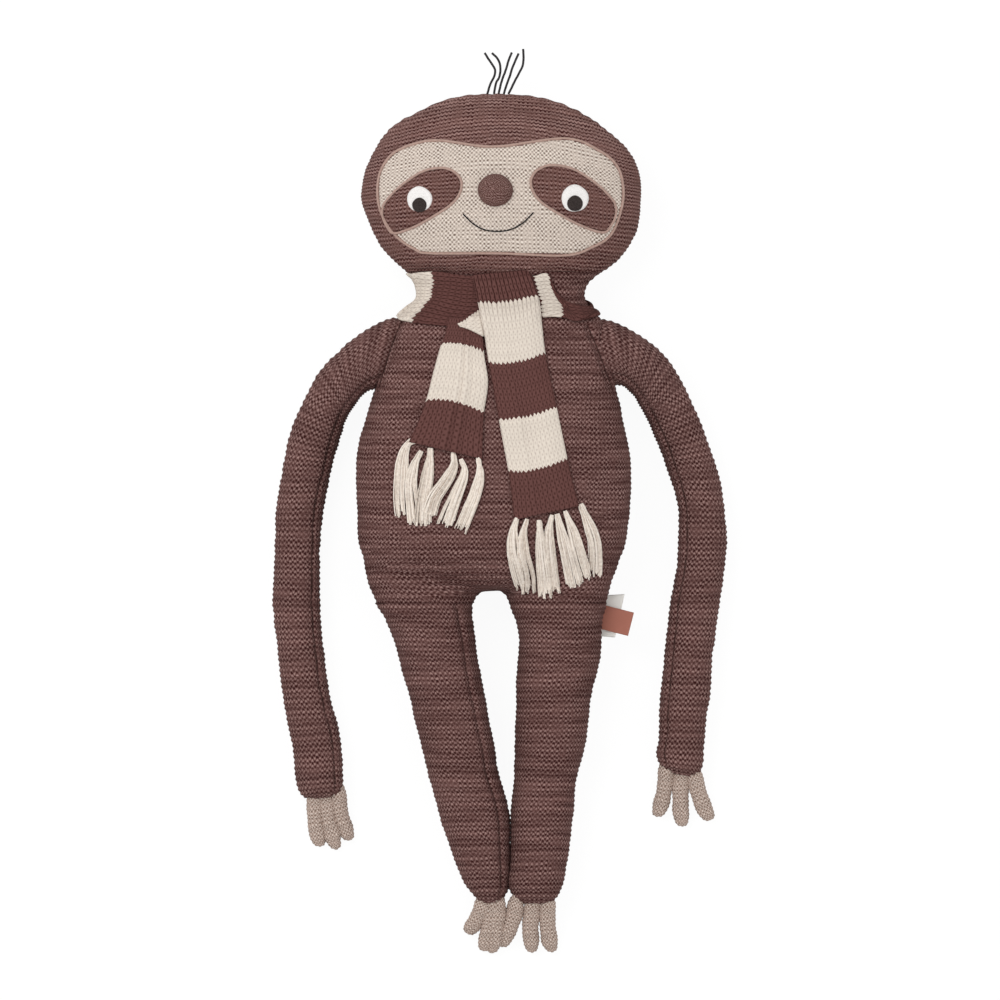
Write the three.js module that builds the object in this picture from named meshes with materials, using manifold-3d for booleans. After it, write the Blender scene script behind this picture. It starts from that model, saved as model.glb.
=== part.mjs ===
// A long-limbed knitted sloth toy with a striped scarf, in millimetres, lying on its back.
// +Z is up, out of the toy's front. +Y runs to its head. Left and right are those of someone who looks
// down on the toy. The origin is on the resting plane, under the middle of the whole toy.
import * as THREE from 'three';
import { mergeVertices } from 'three/addons/utils/BufferGeometryUtils.js';
import Module from 'manifold-3d';

const wasm = await Module();
wasm.setup();

// Fabric and fits
const knitThickness = 2;
const fit = 0.3;
const restCut = 0.5;
const overrun = 900;

// The power of a cross-section that is a plain oval. A higher one fills the section's corners.
const roundPower = 2;

// Fold lines across the toy, where the head and the legs bend forward
const neckFoldY = 158.4;
const hipFoldY = -73.3;
const legDivideX = 5.2;
const seamHeight = 40;

// Soft forms: length along the toy, full width and full depth of each
const head = { length: 125, width: 195.3, depth: 84, power: 2.2, sides: 20 };
const torso = { length: 231.7, width: 193.2, depth: 92, power: 2.5, sides: 20 };
const leg = { length: 212, width: 69, depth: 66, power: 2.2, sides: 14 };
const arm = { length: 310, width: 34.3, depth: 33, power: 2.1, sides: 12 };

// Each row is one cross-section: its place along the form, its middle, its half width, and the heights of
// its front and of its back. They are shares of the form's length, width, width, depth and depth.
const headShares = [
  [-0.112, 0.007, 0.292, 0.760, 0.107],
  [-0.022, 0.011, 0.333, 0.800, 0.070],
  [0.067, 0.023, 0.400, 0.875, 0.024],
  [0.157, 0.018, 0.448, 0.930, 0.000],
  [0.291, 0.011, 0.488, 0.982, -0.006],
  [0.425, 0.005, 0.500, 1.000, -0.006],
  [0.560, 0.007, 0.491, 0.976, -0.006],
  [0.694, 0.002, 0.450, 0.917, 0.024],
  [0.806, -0.007, 0.378, 0.833, 0.083],
  [0.907, -0.003, 0.281, 0.738, 0.190],
  [0.974, -0.003, 0.161, 0.631, 0.333],
  [1.000, -0.003, 0.000, 0.488, 0.488],
];
const torsoShares = [
  [-0.048, 0.010, 0.340, 0.740, 0.085],
  [0.000, 0.007, 0.326, 0.740, 0.065],
  [0.036, 0.007, 0.303, 0.723, 0.082],
  [0.073, 0.005, 0.300, 0.723, 0.087],
  [0.109, -0.003, 0.329, 0.760, 0.076],
  [0.145, -0.007, 0.378, 0.815, 0.054],
  [0.205, -0.009, 0.399, 0.870, 0.022],
  [0.284, -0.010, 0.427, 0.918, 0.000],
  [0.363, -0.018, 0.443, 0.957, -0.005],
  [0.447, -0.020, 0.466, 0.984, -0.005],
  [0.538, -0.023, 0.492, 1.000, -0.005],
  [0.647, -0.025, 0.500, 1.000, -0.005],
  [0.755, -0.025, 0.491, 0.973, -0.005],
  [0.846, -0.031, 0.476, 0.913, -0.005],
  [0.906, -0.034, 0.420, 0.830, 0.022],
  [0.940, -0.036, 0.300, 0.730, 0.090],
  [0.957, -0.036, 0.150, 0.600, 0.220],
  [0.962, -0.036, 0.000, 0.413, 0.413],
];
const leftLegShares = [
  [-0.180, -0.830, 0.400, 0.900, 0.200],
  [-0.155, -0.822, 0.540, 1.060, 0.060],
  [-0.076, -0.812, 0.543, 1.045, 0.000],
  [0.000, -0.771, 0.497, 1.000, -0.008],
  [0.069, -0.705, 0.441, 0.955, -0.008],
  [0.188, -0.624, 0.401, 0.894, -0.008],
  [0.320, -0.528, 0.378, 0.848, -0.008],
  [0.465, -0.431, 0.370, 0.803, -0.008],
  [0.584, -0.355, 0.355, 0.758, -0.008],
  [0.690, -0.279, 0.345, 0.727, -0.008],
  [0.782, -0.230, 0.297, 0.697, -0.008],
  [0.861, -0.188, 0.249, 0.652, -0.008],
  [0.934, -0.142, 0.198, 0.576, 0.030],
  [0.980, -0.091, 0.132, 0.470, 0.121],
  [1.000, -0.081, 0.000, 0.288, 0.288],
];
const rightLegShares = [
  [-0.180, 0.640, 0.400, 0.900, 0.200],
  [-0.155, 0.649, 0.530, 1.060, 0.060],
  [-0.076, 0.619, 0.528, 1.045, 0.000],
  [0.000, 0.588, 0.500, 1.000, -0.008],
  [0.069, 0.609, 0.436, 0.955, -0.008],
  [0.188, 0.593, 0.411, 0.894, -0.008],
  [0.320, 0.541, 0.378, 0.848, -0.008],
  [0.465, 0.512, 0.360, 0.803, -0.008],
  [0.584, 0.462, 0.320, 0.758, -0.008],
  [0.690, 0.424, 0.323, 0.727, -0.008],
  [0.782, 0.394, 0.318, 0.697, -0.008],
  [0.861, 0.370, 0.299, 0.667, -0.008],
  [0.934, 0.345, 0.279, 0.606, 0.030],
  [0.980, 0.320, 0.238, 0.500, 0.106],
  [1.003, 0.315, 0.000, 0.303, 0.303],
];

// The shoulder seams: the places of their ends along the torso and out from its middle line
const shoulderSeamShares = {
  left: { top: [0.139, -0.370], bottom: [0.3565, -0.449] },
  right: { top: [0.145, 0.355], bottom: [0.3444, 0.420] },
};
// Arm sections from the seam to the hand: out and down as shares of the arm's length, the turn of the
// section in degrees, its width as a share of the arm's width, and its height and depth as shares of the
// arm's depth. The first row lies inside the torso, and the seam cuts the arm there.
const armShares = {
  left: [
    [-0.026, 0.008, 73, 1.537, 1.210, 1.270],
    [0.000, 0.000, 73, 1.537, 1.200, 1.270],
    [0.076, 0.040, 96, 1.253, 1.130, 1.210],
    [0.105, 0.070, 113, 1.107, 1.000, 1.150],
    [0.131, 0.107, 134, 0.996, 0.850, 1.090],
    [0.152, 0.155, 154, 0.977, 0.700, 1.060],
    [0.169, 0.207, 169, 0.996, 0.600, 1.030],
    [0.182, 0.269, 178, 1.000, 0.520, 1.030],
    [0.196, 0.343, 180, 0.940, 0.485, 1.000],
    [0.202, 0.442, 180, 0.918, 0.485, 1.000],
    [0.200, 0.623, 180, 0.960, 0.485, 1.000],
    [0.184, 0.758, 181, 0.940, 0.485, 1.000],
    [0.156, 0.905, 183, 1.000, 0.485, 1.000],
    [0.152, 0.962, 185, 0.950, 0.485, 0.980],
    [0.148, 0.989, 185, 0.840, 0.475, 0.820],
    [0.146, 1.001, 185, 0.600, 0.460, 0.500],
    [0.146, 1.003, 185, 0.000, 0.455, 0.000],
  ],
  right: [
    [-0.025, 0.007, 75, 1.396, 1.210, 1.270],
    [0.000, 0.000, 75, 1.396, 1.200, 1.270],
    [0.077, 0.035, 104, 1.157, 1.130, 1.210],
    [0.106, 0.068, 121, 1.099, 1.000, 1.150],
    [0.130, 0.108, 137, 1.026, 0.850, 1.090],
    [0.152, 0.155, 154, 0.977, 0.700, 1.060],
    [0.172, 0.203, 168, 0.961, 0.600, 1.030],
    [0.192, 0.260, 175, 0.983, 0.520, 1.030],
    [0.211, 0.343, 180, 0.960, 0.485, 1.000],
    [0.214, 0.445, 180, 0.980, 0.485, 1.000],
    [0.199, 0.558, 180, 1.020, 0.485, 1.000],
    [0.186, 0.670, 180, 1.000, 0.485, 1.000],
    [0.175, 0.783, 180, 1.000, 0.485, 1.000],
    [0.167, 0.878, 180, 0.939, 0.485, 1.000],
    [0.164, 0.918, 180, 0.950, 0.485, 0.980],
    [0.165, 0.945, 180, 0.840, 0.475, 0.820],
    [0.165, 0.957, 180, 0.600, 0.460, 0.500],
    [0.165, 0.959, 180, 0.000, 0.455, 0.000],
  ],
};

// The face: its panel, patches, eyes, nose and mouth, as sizes and as places from the fold line at the neck
const face = { width: 171.5, height: 79.8, centreX: 0.35, centreAboveFold: 51.8 };
const faceOutlineShares = [
  [-0.239, 0.500], [-0.027, 0.447], [0.263, 0.518], [0.402, 0.412], [0.476, 0.272], [0.500, 0.070],
  [0.488, -0.123], [0.447, -0.325], [0.372, -0.430], [0.263, -0.500], [-0.006, -0.482], [-0.284, -0.482],
  [-0.349, -0.447], [-0.427, -0.325], [-0.488, -0.114], [-0.500, 0.105], [-0.480, 0.272], [-0.427, 0.404],
  [-0.333, 0.482],
];
// How many points stand for each step of an outline once it is smoothed
const outlineSteps = 2;
// The right patch's outline, which the left one mirrors
const patchOutlineShares = [
  [-0.500, 0.306], [-0.417, 0.440], [-0.250, 0.500], [0.000, 0.440], [0.274, 0.200], [0.476, -0.022],
  [0.500, -0.172], [0.429, -0.410], [0.357, -0.500], [0.107, -0.396], [-0.143, -0.231], [-0.381, -0.037],
  [-0.488, 0.142],
];
const eyePatches = {
  left: { x: -54.3, aboveFold: 50.0, width: 52.5, height: 44.1, mirror: -1 },
  right: { x: 51.1, aboveFold: 51.2, width: 56.7, height: 45.5, mirror: 1 },
};
const eyes = {
  left: { x: -56.3, aboveFold: 51.1, width: 17.5, pupilX: -56.7, pupilAboveFold: 46.9, pupilWidth: 9.8 },
  right: { x: 52.5, aboveFold: 51.8, width: 18.9, pupilX: 52.5, pupilAboveFold: 48.3, pupilWidth: 10.8 },
};
const felt = { thickness: 1.2, whiteSides: 14, pupilSides: 10 };
const nose = { x: -3.5, aboveFold: 57.4, width: 24.5, height: 22.4, projection: 8, sides: 14, rings: 10 };
const mouth = { left: -24.9, right: 22.4, cornerAboveFold: 40.3, sag: 11.9, thread: 1.4, steps: 12 };

// Hair threads, each through points given as shares of the hair's length: sideways and up from the crown
const hair = { length: 30, thread: 1.5, root: 4, standOff: 0.45, sides: 3, steps: 5 };
const hairShares = [
  [[-0.303, 0.00], [-0.138, 0.40], [-0.140, 0.66], [-0.360, 0.96]],
  [[-0.145, 0.00], [-0.015, 0.38], [0.000, 0.62], [-0.188, 0.94]],
  [[-0.020, 0.00], [0.110, 0.40], [0.210, 0.72], [0.290, 0.97]],
  [[0.100, 0.00], [0.250, 0.42], [0.360, 0.70], [0.450, 0.95]],
  [[0.230, 0.00], [0.440, 0.40], [0.560, 0.66], [0.580, 1.03]],
];

// Claws: small stuffed knitted tubes, three to a hand or foot, that start at the end of the sleeve
const claw = { length: 32, width: 9.4, sides: 6, standOff: 1, tipHeight: 5.2, clearance: 0.45 };
const clawShares = [
  [-0.110, 0.000], [-0.080, 0.260], [0.000, 0.380], [0.250, 0.440], [0.550, 0.500], [0.820, 0.440],
  [0.950, 0.270], [1.000, 0.000],
];
// For each claw: its place across the sleeve's end and its length as shares of the claw's length, and the
// way it points in degrees, from straight away from the head and towards +X
const clawSets = {
  left_hand: { tilt: 6, claws: [[-0.33, 0.95, 4], [0.00, 1.00, 10], [0.34, 0.96, 19]] },
  right_hand: { tilt: -6, claws: [[-0.33, 0.96, -14], [0.00, 0.96, 2], [0.34, 0.94, 22]] },
  left_foot: { tilt: 0, claws: [[-0.33, 0.74, -34], [-0.06, 0.92, -22], [0.21, 0.95, -14]] },
  right_foot: { tilt: 0, claws: [[-0.27, 0.96, -9], [0.04, 0.97, -1], [0.36, 0.98, 7]] },
};

// The scarf: a knitted band once round the neck, and two tails that lie on the chest
const scarf = {
  thickness: 4, pleat: 1.6, columns: 6, lieGap: 0.8, ease: 14, tasselGap: 0.45, tasselSides: 6,
};
const longTail = { length: 168.7, pleats: 1, tassels: 7, tasselWidth: 5.9, tasselDepth: 3.6 };
const shortTail = { length: 79.1, pleats: 2, tassels: 6, tasselWidth: 7.4, tasselDepth: 3.8 };
// The band's outline over the neck: out from the middle line and down from the neck fold, as shares of the
// torso's width
const wrapOutlineShares = [
  [-0.400, 0.011], [0.178, 0.014], [0.206, 0.058], [0.270, 0.087], [0.420, 0.087], [0.420, 0.143],
  [0.350, 0.163], [0.155, 0.178], [-0.150, 0.196], [-0.310, 0.182], [-0.352, 0.152], [-0.400, 0.120],
];
// Left and right edges of the tails, row by row: out from the middle line and down from the neck fold, as
// shares of the tail's length
const longTailShares = [
  [-0.108, 0.040, 0.133, 0.032], [-0.091, 0.131, 0.160, 0.104], [-0.066, 0.251, 0.183, 0.241],
  [-0.048, 0.371, 0.191, 0.349], [-0.029, 0.485, 0.212, 0.452], [-0.007, 0.603, 0.234, 0.557],
  [0.012, 0.718, 0.257, 0.668], [0.035, 0.830, 0.280, 0.779], [0.058, 1.021, 0.327, 0.964],
];
const shortTailShares = [
  [-0.478, 0.520, -0.170, 0.520], [-0.518, 0.637, -0.150, 0.713], [-0.584, 0.867, -0.120, 0.970],
  [-0.655, 1.138, -0.142, 1.248], [-0.730, 1.319, -0.150, 1.434], [-0.805, 1.504, -0.159, 1.619],
];
// The tassels' free ends: the first and the last, as shares of the tail's length
const longTasselShares = { first: [0.095, 1.310], last: [0.392, 1.250] };
const shortTasselShares = { first: [-0.870, 2.240], last: [-0.360, 2.290] };

// A tassel's width from its knot to its frayed end, as shares of its greatest width
const tasselWidthShares = [0.62, 0.86, 1, 1, 0.92, 0.6];

// Labels in the outer seam of the right leg, below the fold
const label = { width: 18.2, height: 16.8, thickness: 1.2, turn: -14, belowFold: 11.5, x: 81.5 };
const careLabel = { width: 13, height: 27.5, thickness: 0.8, turn: -14, belowFold: 7.2, x: 76.5 };

const colours = {
  brownKnit: '#6d4f4b', beigeKnit: '#c6b7ac', patchKnit: '#694b46', noseKnit: '#755851', clawKnit: '#a59387',
  scarf: '#5f403b', fringe: '#d2c3b7', thread: '#1c1a1a', white: '#eeeae8', black: '#352e2d',
  label: '#a56955', care: '#dedbd0', stuffing: '#f2f0ec',
};

// A closed solid from a geometry, once its shared vertices are merged
function solidOf(geometry) {
  const plain = geometry.clone();
  plain.deleteAttribute('normal');
  plain.deleteAttribute('uv');
  const merged = mergeVertices(plain);
  const mesh = new wasm.Mesh({
    numProp: 3,
    vertProperties: new Float32Array(merged.attributes.position.array),
    triVerts: new Uint32Array(merged.index.array),
  });
  return new wasm.Manifold(mesh);
}

// A named mesh from a solid, with its own material
function piece(name, solid, colour, roughness = 0.95) {
  const { vertProperties, triVerts } = solid.getMesh();
  const geometry = new THREE.BufferGeometry();
  geometry.setAttribute('position', new THREE.BufferAttribute(new Float32Array(vertProperties), 3));
  geometry.setIndex(new THREE.BufferAttribute(new Uint32Array(triVerts), 1));
  geometry.computeVertexNormals();
  const material = new THREE.MeshStandardMaterial({ color: colour, roughness, metalness: 0 });
  const mesh = new THREE.Mesh(geometry, material);
  mesh.name = name;
  return mesh;
}

// The volume inside a closed geometry, which is negative where its faces point inwards
function signedVolume(points, faces) {
  let six = 0;
  for (const [a, b, c] of faces) {
    six += points[a].dot(new THREE.Vector3().crossVectors(points[b], points[c]));
  }
  return six;
}

// A closed soft form through cross-sections, grown outwards by swell. A section is a rounded oval with a
// centre, a direction across, a direction up, a half width and a rise. One with no width is a pole.
function loft(sections, sides, power, swell = 0) {
  const points = [];
  const faces = [];
  const starts = [];
  for (const { centre, across, up, half, rise } of sections) {
    starts.push(points.length);
    for (let side = 0; side < (half === 0 ? 1 : sides); side += 1) {
      const turn = (2 * Math.PI * side) / sides;
      const u = Math.sign(Math.cos(turn)) * Math.abs(Math.cos(turn)) ** (2 / power) * half;
      const v = Math.sign(Math.sin(turn)) * Math.abs(Math.sin(turn)) ** (2 / power) * rise;
      points.push(centre.clone().addScaledVector(across, u).addScaledVector(up, half === 0 ? 0 : v));
    }
  }
  for (let row = 0; row + 1 < sections.length; row += 1) {
    const lowPole = sections[row].half === 0;
    const highPole = sections[row + 1].half === 0;
    for (let side = 0; side < sides; side += 1) {
      const next = (side + 1) % sides;
      const a = starts[row] + (lowPole ? 0 : side);
      const b = starts[row] + (lowPole ? 0 : next);
      const c = starts[row + 1] + (highPole ? 0 : next);
      const d = starts[row + 1] + (highPole ? 0 : side);
      if (!lowPole) faces.push([a, b, c]);
      if (!highPole) faces.push([a, c, d]);
    }
  }
  for (const [row, order] of [[0, 1], [sections.length - 1, -1]]) {
    if (sections[row].half === 0) continue;
    const hub = points.length;
    points.push(sections[row].centre.clone());
    for (let side = 0; side < sides; side += 1) {
      const from = starts[row] + side;
      const to = starts[row] + ((side + 1) % sides);
      faces.push(order > 0 ? [hub, to, from] : [hub, from, to]);
    }
  }
  if (signedVolume(points, faces) < 0) faces.forEach((face) => face.reverse());
  const geometry = new THREE.BufferGeometry().setFromPoints(points);
  geometry.setIndex(faces.flat());
  if (swell !== 0) {
    geometry.computeVertexNormals();
    const { position, normal } = geometry.attributes;
    for (let i = 0; i < position.count; i += 1) {
      position.setXYZ(
        i,
        position.getX(i) + normal.getX(i) * swell,
        position.getY(i) + normal.getY(i) * swell,
        position.getZ(i) + normal.getZ(i) * swell,
      );
    }
  }
  return solidOf(geometry);
}

const xAxis = new THREE.Vector3(1, 0, 0);
const zAxis = new THREE.Vector3(0, 0, 1);

// The cross-sections of a form that runs along Y, from its fold line and its table of shares
function sectionsAlongY(size, startY, direction, shares) {
  return shares.map(([along, middle, half, front, back]) => ({
    centre: new THREE.Vector3(
      middle * size.width,
      startY + direction * along * size.length,
      ((front + back) / 2) * size.depth,
    ),
    across: xAxis,
    up: zAxis,
    half: half * size.width,
    rise: ((front - back) / 2) * size.depth,
  }));
}

const headForm = { ...head, sections: sectionsAlongY(head, neckFoldY, 1, headShares) };
const torsoForm = { ...torso, sections: sectionsAlongY(torso, neckFoldY, -1, torsoShares) };
const legForms = {
  left: { ...leg, sections: sectionsAlongY(leg, hipFoldY, -1, leftLegShares) },
  right: { ...leg, sections: sectionsAlongY(leg, hipFoldY, -1, rightLegShares) },
};

// The solid of a soft form, grown by swell
function formSolid(form, swell) {
  return loft(form.sections, form.sides, form.power, swell);
}

// A shoulder seam: the middle of the line where an arm is sewn on, its length and its outward direction
function shoulderSeam(side) {
  const outward = side === 'left' ? -1 : 1;
  const { top, bottom } = shoulderSeamShares[side];
  const [upper, lower] = [top, bottom].map(
    ([along, out]) => new THREE.Vector3(out * torso.width, neckFoldY - along * torso.length, 0),
  );
  const down = lower.clone().sub(upper).normalize();
  const normal = new THREE.Vector3(down.y, -down.x, 0).multiplyScalar(-outward);
  return { centre: upper.add(lower).divideScalar(2), normal, outward };
}
const seams = { left: shoulderSeam('left'), right: shoulderSeam('right') };

// The cross-sections of an arm, from its seam to its hand
function armSections(side) {
  const { centre, outward } = seams[side];
  return armShares[side].map(([out, down, turn, width, height, depth]) => {
    const angle = THREE.MathUtils.degToRad(turn);
    return {
      centre: new THREE.Vector3(
        centre.x + outward * out * arm.length,
        centre.y - down * arm.length,
        height * arm.depth,
      ),
      across: new THREE.Vector3(outward * Math.cos(angle), -Math.sin(angle), 0),
      up: zAxis,
      half: (width * arm.width) / 2,
      rise: (depth * arm.depth) / 2,
    };
  });
}
const armForms = {
  left: { ...arm, sections: armSections('left') },
  right: { ...arm, sections: armSections('right') },
};

// Cutting tools: a block between two corners, and the half of space beyond a shoulder seam
function block(low, high) {
  const size = new THREE.Vector3().subVectors(high, low);
  const geometry = new THREE.BoxGeometry(size.x, size.y, size.z);
  geometry.translate((low.x + high.x) / 2, (low.y + high.y) / 2, (low.z + high.z) / 2);
  return solidOf(geometry);
}

// All of space above the lowest values that are given and below the highest ones
function everywhereFrom({ x = -overrun, y = -overrun, z = -overrun }, to = {}) {
  const high = { x: overrun, y: overrun, z: overrun, ...to };
  return block(new THREE.Vector3(x, y, z), new THREE.Vector3(high.x, high.y, high.z));
}

function beyondSeam(seam, setBack) {
  const geometry = new THREE.BoxGeometry(overrun, 2 * overrun, 2 * overrun);
  geometry.translate(overrun / 2 + setBack, 0, 0);
  geometry.rotateZ(Math.atan2(seam.normal.y, seam.normal.x));
  geometry.translate(seam.centre.x, seam.centre.y, 0);
  return solidOf(geometry);
}

// The room beside a seam, inside the torso, where an arm's first section is cut away
function insideSeam(seam, setBack) {
  const depth = arm.width;
  const geometry = new THREE.BoxGeometry(depth, 2 * arm.width, 2 * overrun);
  geometry.translate(setBack - depth / 2, 0, 0);
  geometry.rotateZ(Math.atan2(seam.normal.y, seam.normal.x));
  geometry.translate(seam.centre.x, seam.centre.y, 0);
  return solidOf(geometry);
}

const aboveFloor = everywhereFrom({ z: 0 });
const frontHalf = everywhereFrom({ z: seamHeight + fit / 2 });
const backHalf = everywhereFrom({}, { z: seamHeight - fit / 2 });
const headRoom = everywhereFrom({ y: neckFoldY + fit / 2, z: 0 });
const torsoRoom = everywhereFrom({ y: hipFoldY + fit / 2, z: 0 }, { y: neckFoldY - fit / 2 })
  .subtract(beyondSeam(seams.left, -fit / 2))
  .subtract(beyondSeam(seams.right, -fit / 2));
const legRoom = {
  left: everywhereFrom({ z: 0 }, { x: legDivideX - fit / 2, y: hipFoldY - fit / 2 }),
  right: everywhereFrom({ x: legDivideX + fit / 2, z: 0 }, { y: hipFoldY - fit / 2 }),
};

// A smooth closed outline through points, moved outwards by grow
function smoothOutline(points, grow) {
  const curve = new THREE.CatmullRomCurve3(points.map(([x, y]) => new THREE.Vector3(x, y, 0)), true);
  const count = points.length * outlineSteps;
  const outline = [];
  for (let i = 0; i < count; i += 1) {
    const at = curve.getPoint(i / count);
    const along = curve.getTangent(i / count);
    outline.push(new THREE.Vector2(at.x + along.y * grow, at.y - along.x * grow));
  }
  return outline;
}

// An upright prism over an outline, from a height up or, with no height, right through the toy
function prism(outline, from = -overrun) {
  const ccw = THREE.ShapeUtils.isClockWise(outline) ? [...outline].reverse() : outline;
  const geometry = new THREE.ExtrudeGeometry(new THREE.Shape(ccw), {
    depth: overrun - from,
    bevelEnabled: false,
  });
  geometry.translate(0, 0, from);
  return solidOf(geometry);
}

function disc(x, y, width, sides) {
  const outline = [];
  for (let i = 0; i < sides; i += 1) {
    const turn = (2 * Math.PI * i) / sides;
    outline.push(new THREE.Vector2(x + (Math.cos(turn) * width) / 2, y + (Math.sin(turn) * width) / 2));
  }
  return prism(outline, seamHeight);
}

// The layer between two distances from the head's surface
function headLayer(inner, outer) {
  return formSolid(headForm, outer).subtract(formSolid(headForm, inner));
}

// The outlines of the face run clockwise, but for the mirrored left patch, so growth outwards has their sign
function faceOutline(grow = 0) {
  const points = faceOutlineShares.map(([x, y]) => [
    face.centreX + x * face.width,
    neckFoldY + face.centreAboveFold + y * face.height,
  ]);
  return smoothOutline(points, -grow);
}

function patchOutline(side, grow = 0) {
  const patch = eyePatches[side];
  const points = patchOutlineShares.map(([x, y]) => [
    patch.x + patch.mirror * x * patch.width,
    neckFoldY + patch.aboveFold + y * patch.height,
  ]);
  return smoothOutline(points, -patch.mirror * grow);
}

function facePieces() {
  const shell = headLayer(-knitThickness, 0).intersect(headRoom);
  const opening = prism(faceOutline(fit), seamHeight);
  let panel = shell.intersect(prism(faceOutline(), seamHeight));
  const pieces = [
    piece('head_front_panel', shell.intersect(frontHalf).subtract(opening), colours.brownKnit),
    piece('head_back_panel', shell.intersect(backHalf), colours.brownKnit),
    piece(
      'head_stuffing',
      formSolid(headForm, -knitThickness - fit).intersect(headRoom),
      colours.stuffing,
    ),
  ];
  for (const side of ['left', 'right']) {
    const patch = shell.intersect(prism(patchOutline(side), seamHeight));
    panel = panel.subtract(prism(patchOutline(side, fit), seamHeight));
    pieces.push(piece(`${side}_eye_patch`, patch, colours.patchKnit));
    pieces.push(...eyePieces(side));
  }
  pieces.push(piece('face_panel', panel, colours.beigeKnit));
  return pieces;
}

// A round white of felt with a smaller black round on it, both laid on the eye patch
function eyePieces(side) {
  const eye = eyes[side];
  const white = headLayer(fit, fit + felt.thickness).intersect(
    disc(eye.x, neckFoldY + eye.aboveFold, eye.width, felt.whiteSides),
  );
  const pupilBase = 2 * fit + felt.thickness;
  const pupil = headLayer(pupilBase, pupilBase + felt.thickness).intersect(
    disc(eye.pupilX, neckFoldY + eye.pupilAboveFold, eye.pupilWidth, felt.pupilSides),
  );
  return [
    piece(`${side}_eye_white`, white, colours.white),
    piece(`${side}_pupil`, pupil, colours.black, 0.5),
  ];
}

// The height of a form's front at a place, between its cross-sections
function frontHeight(form, x, y) {
  for (let i = 0; i + 1 < form.sections.length; i += 1) {
    const [a, b] = [form.sections[i], form.sections[i + 1]];
    const t = (y - a.centre.y) / (b.centre.y - a.centre.y);
    if (t < 0 || t > 1) continue;
    const middle = THREE.MathUtils.lerp(a.centre.x, b.centre.x, t);
    const half = THREE.MathUtils.lerp(a.half, b.half, t);
    const reach = Math.abs(x - middle) / half;
    if (reach >= 1) return 0;
    const rise = THREE.MathUtils.lerp(a.rise, b.rise, t);
    const centre = THREE.MathUtils.lerp(a.centre.z, b.centre.z, t);
    return centre + rise * (1 - reach ** form.power) ** (1 / form.power);
  }
  return 0;
}

// The padded nose is a low dome that sits on the face panel
function noseSolid() {
  const y = neckFoldY + nose.aboveFold;
  const geometry = new THREE.SphereGeometry(1, nose.sides, nose.rings);
  geometry.scale(nose.width / 2, nose.height / 2, nose.projection);
  geometry.translate(nose.x, y, frontHeight(headForm, nose.x, y));
  return solidOf(geometry).subtract(formSolid(headForm, fit));
}

// The smile is one stitched thread along an arc
function mouthSolid() {
  const middle = (mouth.left + mouth.right) / 2;
  const reach = (mouth.right - mouth.left) / 2;
  const outline = [];
  for (const [sign, order] of [[1, 1], [-1, -1]]) {
    for (let i = 0; i <= mouth.steps; i += 1) {
      const t = order * ((2 * i) / mouth.steps - 1);
      const y = neckFoldY + mouth.cornerAboveFold - mouth.sag * (1 - t * t);
      outline.push(new THREE.Vector2(middle + t * reach, y + (sign * mouth.thread) / 2));
    }
  }
  return headLayer(fit, fit + mouth.thread).intersect(prism(outline, seamHeight));
}

// A round thread through points
function thread(points, width, sides, steps) {
  const section = new THREE.Shape();
  section.absarc(0, 0, width / 2, 0, 2 * Math.PI);
  const geometry = new THREE.ExtrudeGeometry(section, {
    extrudePath: new THREE.CatmullRomCurve3(points),
    steps,
    curveSegments: sides,
    bevelEnabled: false,
  });
  return solidOf(geometry);
}

function hairPieces() {
  const crownY = neckFoldY + head.length;
  const skin = formSolid(headForm, fit);
  return hairShares.map((points, index) => {
    const path = points.map(
      ([x, y]) => new THREE.Vector3(x * hair.length, crownY + y * hair.length, seamHeight + hair.standOff),
    );
    path.unshift(path[0].clone().setY(crownY - hair.root));
    const strand = thread(path, hair.thread, hair.sides, hair.steps).subtract(skin);
    return piece(`hair_strand_${index + 1}`, strand, colours.thread);
  });
}

// The torso with the upper ends of the legs, which run out of it below the belly
function trunkSolid(swell) {
  return formSolid(torsoForm, swell)
    .add(formSolid(legForms.left, swell))
    .add(formSolid(legForms.right, swell));
}

function torsoPieces() {
  const shell = trunkSolid(0).subtract(trunkSolid(-knitThickness)).intersect(torsoRoom);
  const stuffing = trunkSolid(-knitThickness - fit).intersect(torsoRoom);
  return [
    piece('torso_front_panel', shell.intersect(frontHalf), colours.brownKnit),
    piece('torso_back_panel', shell.intersect(backHalf), colours.brownKnit),
    piece('torso_stuffing', stuffing, colours.stuffing),
  ];
}

// Where a limb ends and its claws start: the point, the direction across the claws and the sleeve's height
function clawRoot(form, tilt) {
  const end = form.sections[form.sections.length - 1].centre;
  const angle = THREE.MathUtils.degToRad(tilt);
  return {
    at: new THREE.Vector3(end.x, end.y - claw.standOff, end.z),
    across: new THREE.Vector3(Math.cos(angle), Math.sin(angle), 0),
  };
}

// One claw of a set, which falls from its root to the resting plane
function clawSolid(form, set, index) {
  const root = clawRoot(form, set.tilt);
  const [place, reach, turn] = set.claws[index];
  const length = reach * claw.length;
  const start = root.at.clone().addScaledVector(root.across, place * claw.length);
  const angle = THREE.MathUtils.degToRad(turn);
  const drop = Math.asin((start.z - claw.tipHeight) / length);
  const along = new THREE.Vector3(Math.sin(angle) * Math.cos(drop), -Math.cos(angle) * Math.cos(drop),
    -Math.sin(drop));
  const across = new THREE.Vector3().crossVectors(along, zAxis).normalize();
  const up = new THREE.Vector3().crossVectors(across, along);
  const sections = clawShares.map(([share, radius]) => ({
    centre: start.clone().addScaledVector(along, share * length),
    across,
    up,
    half: radius * claw.width,
    rise: radius * claw.width,
  }));
  return loft(sections, claw.sides, roundPower);
}

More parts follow.
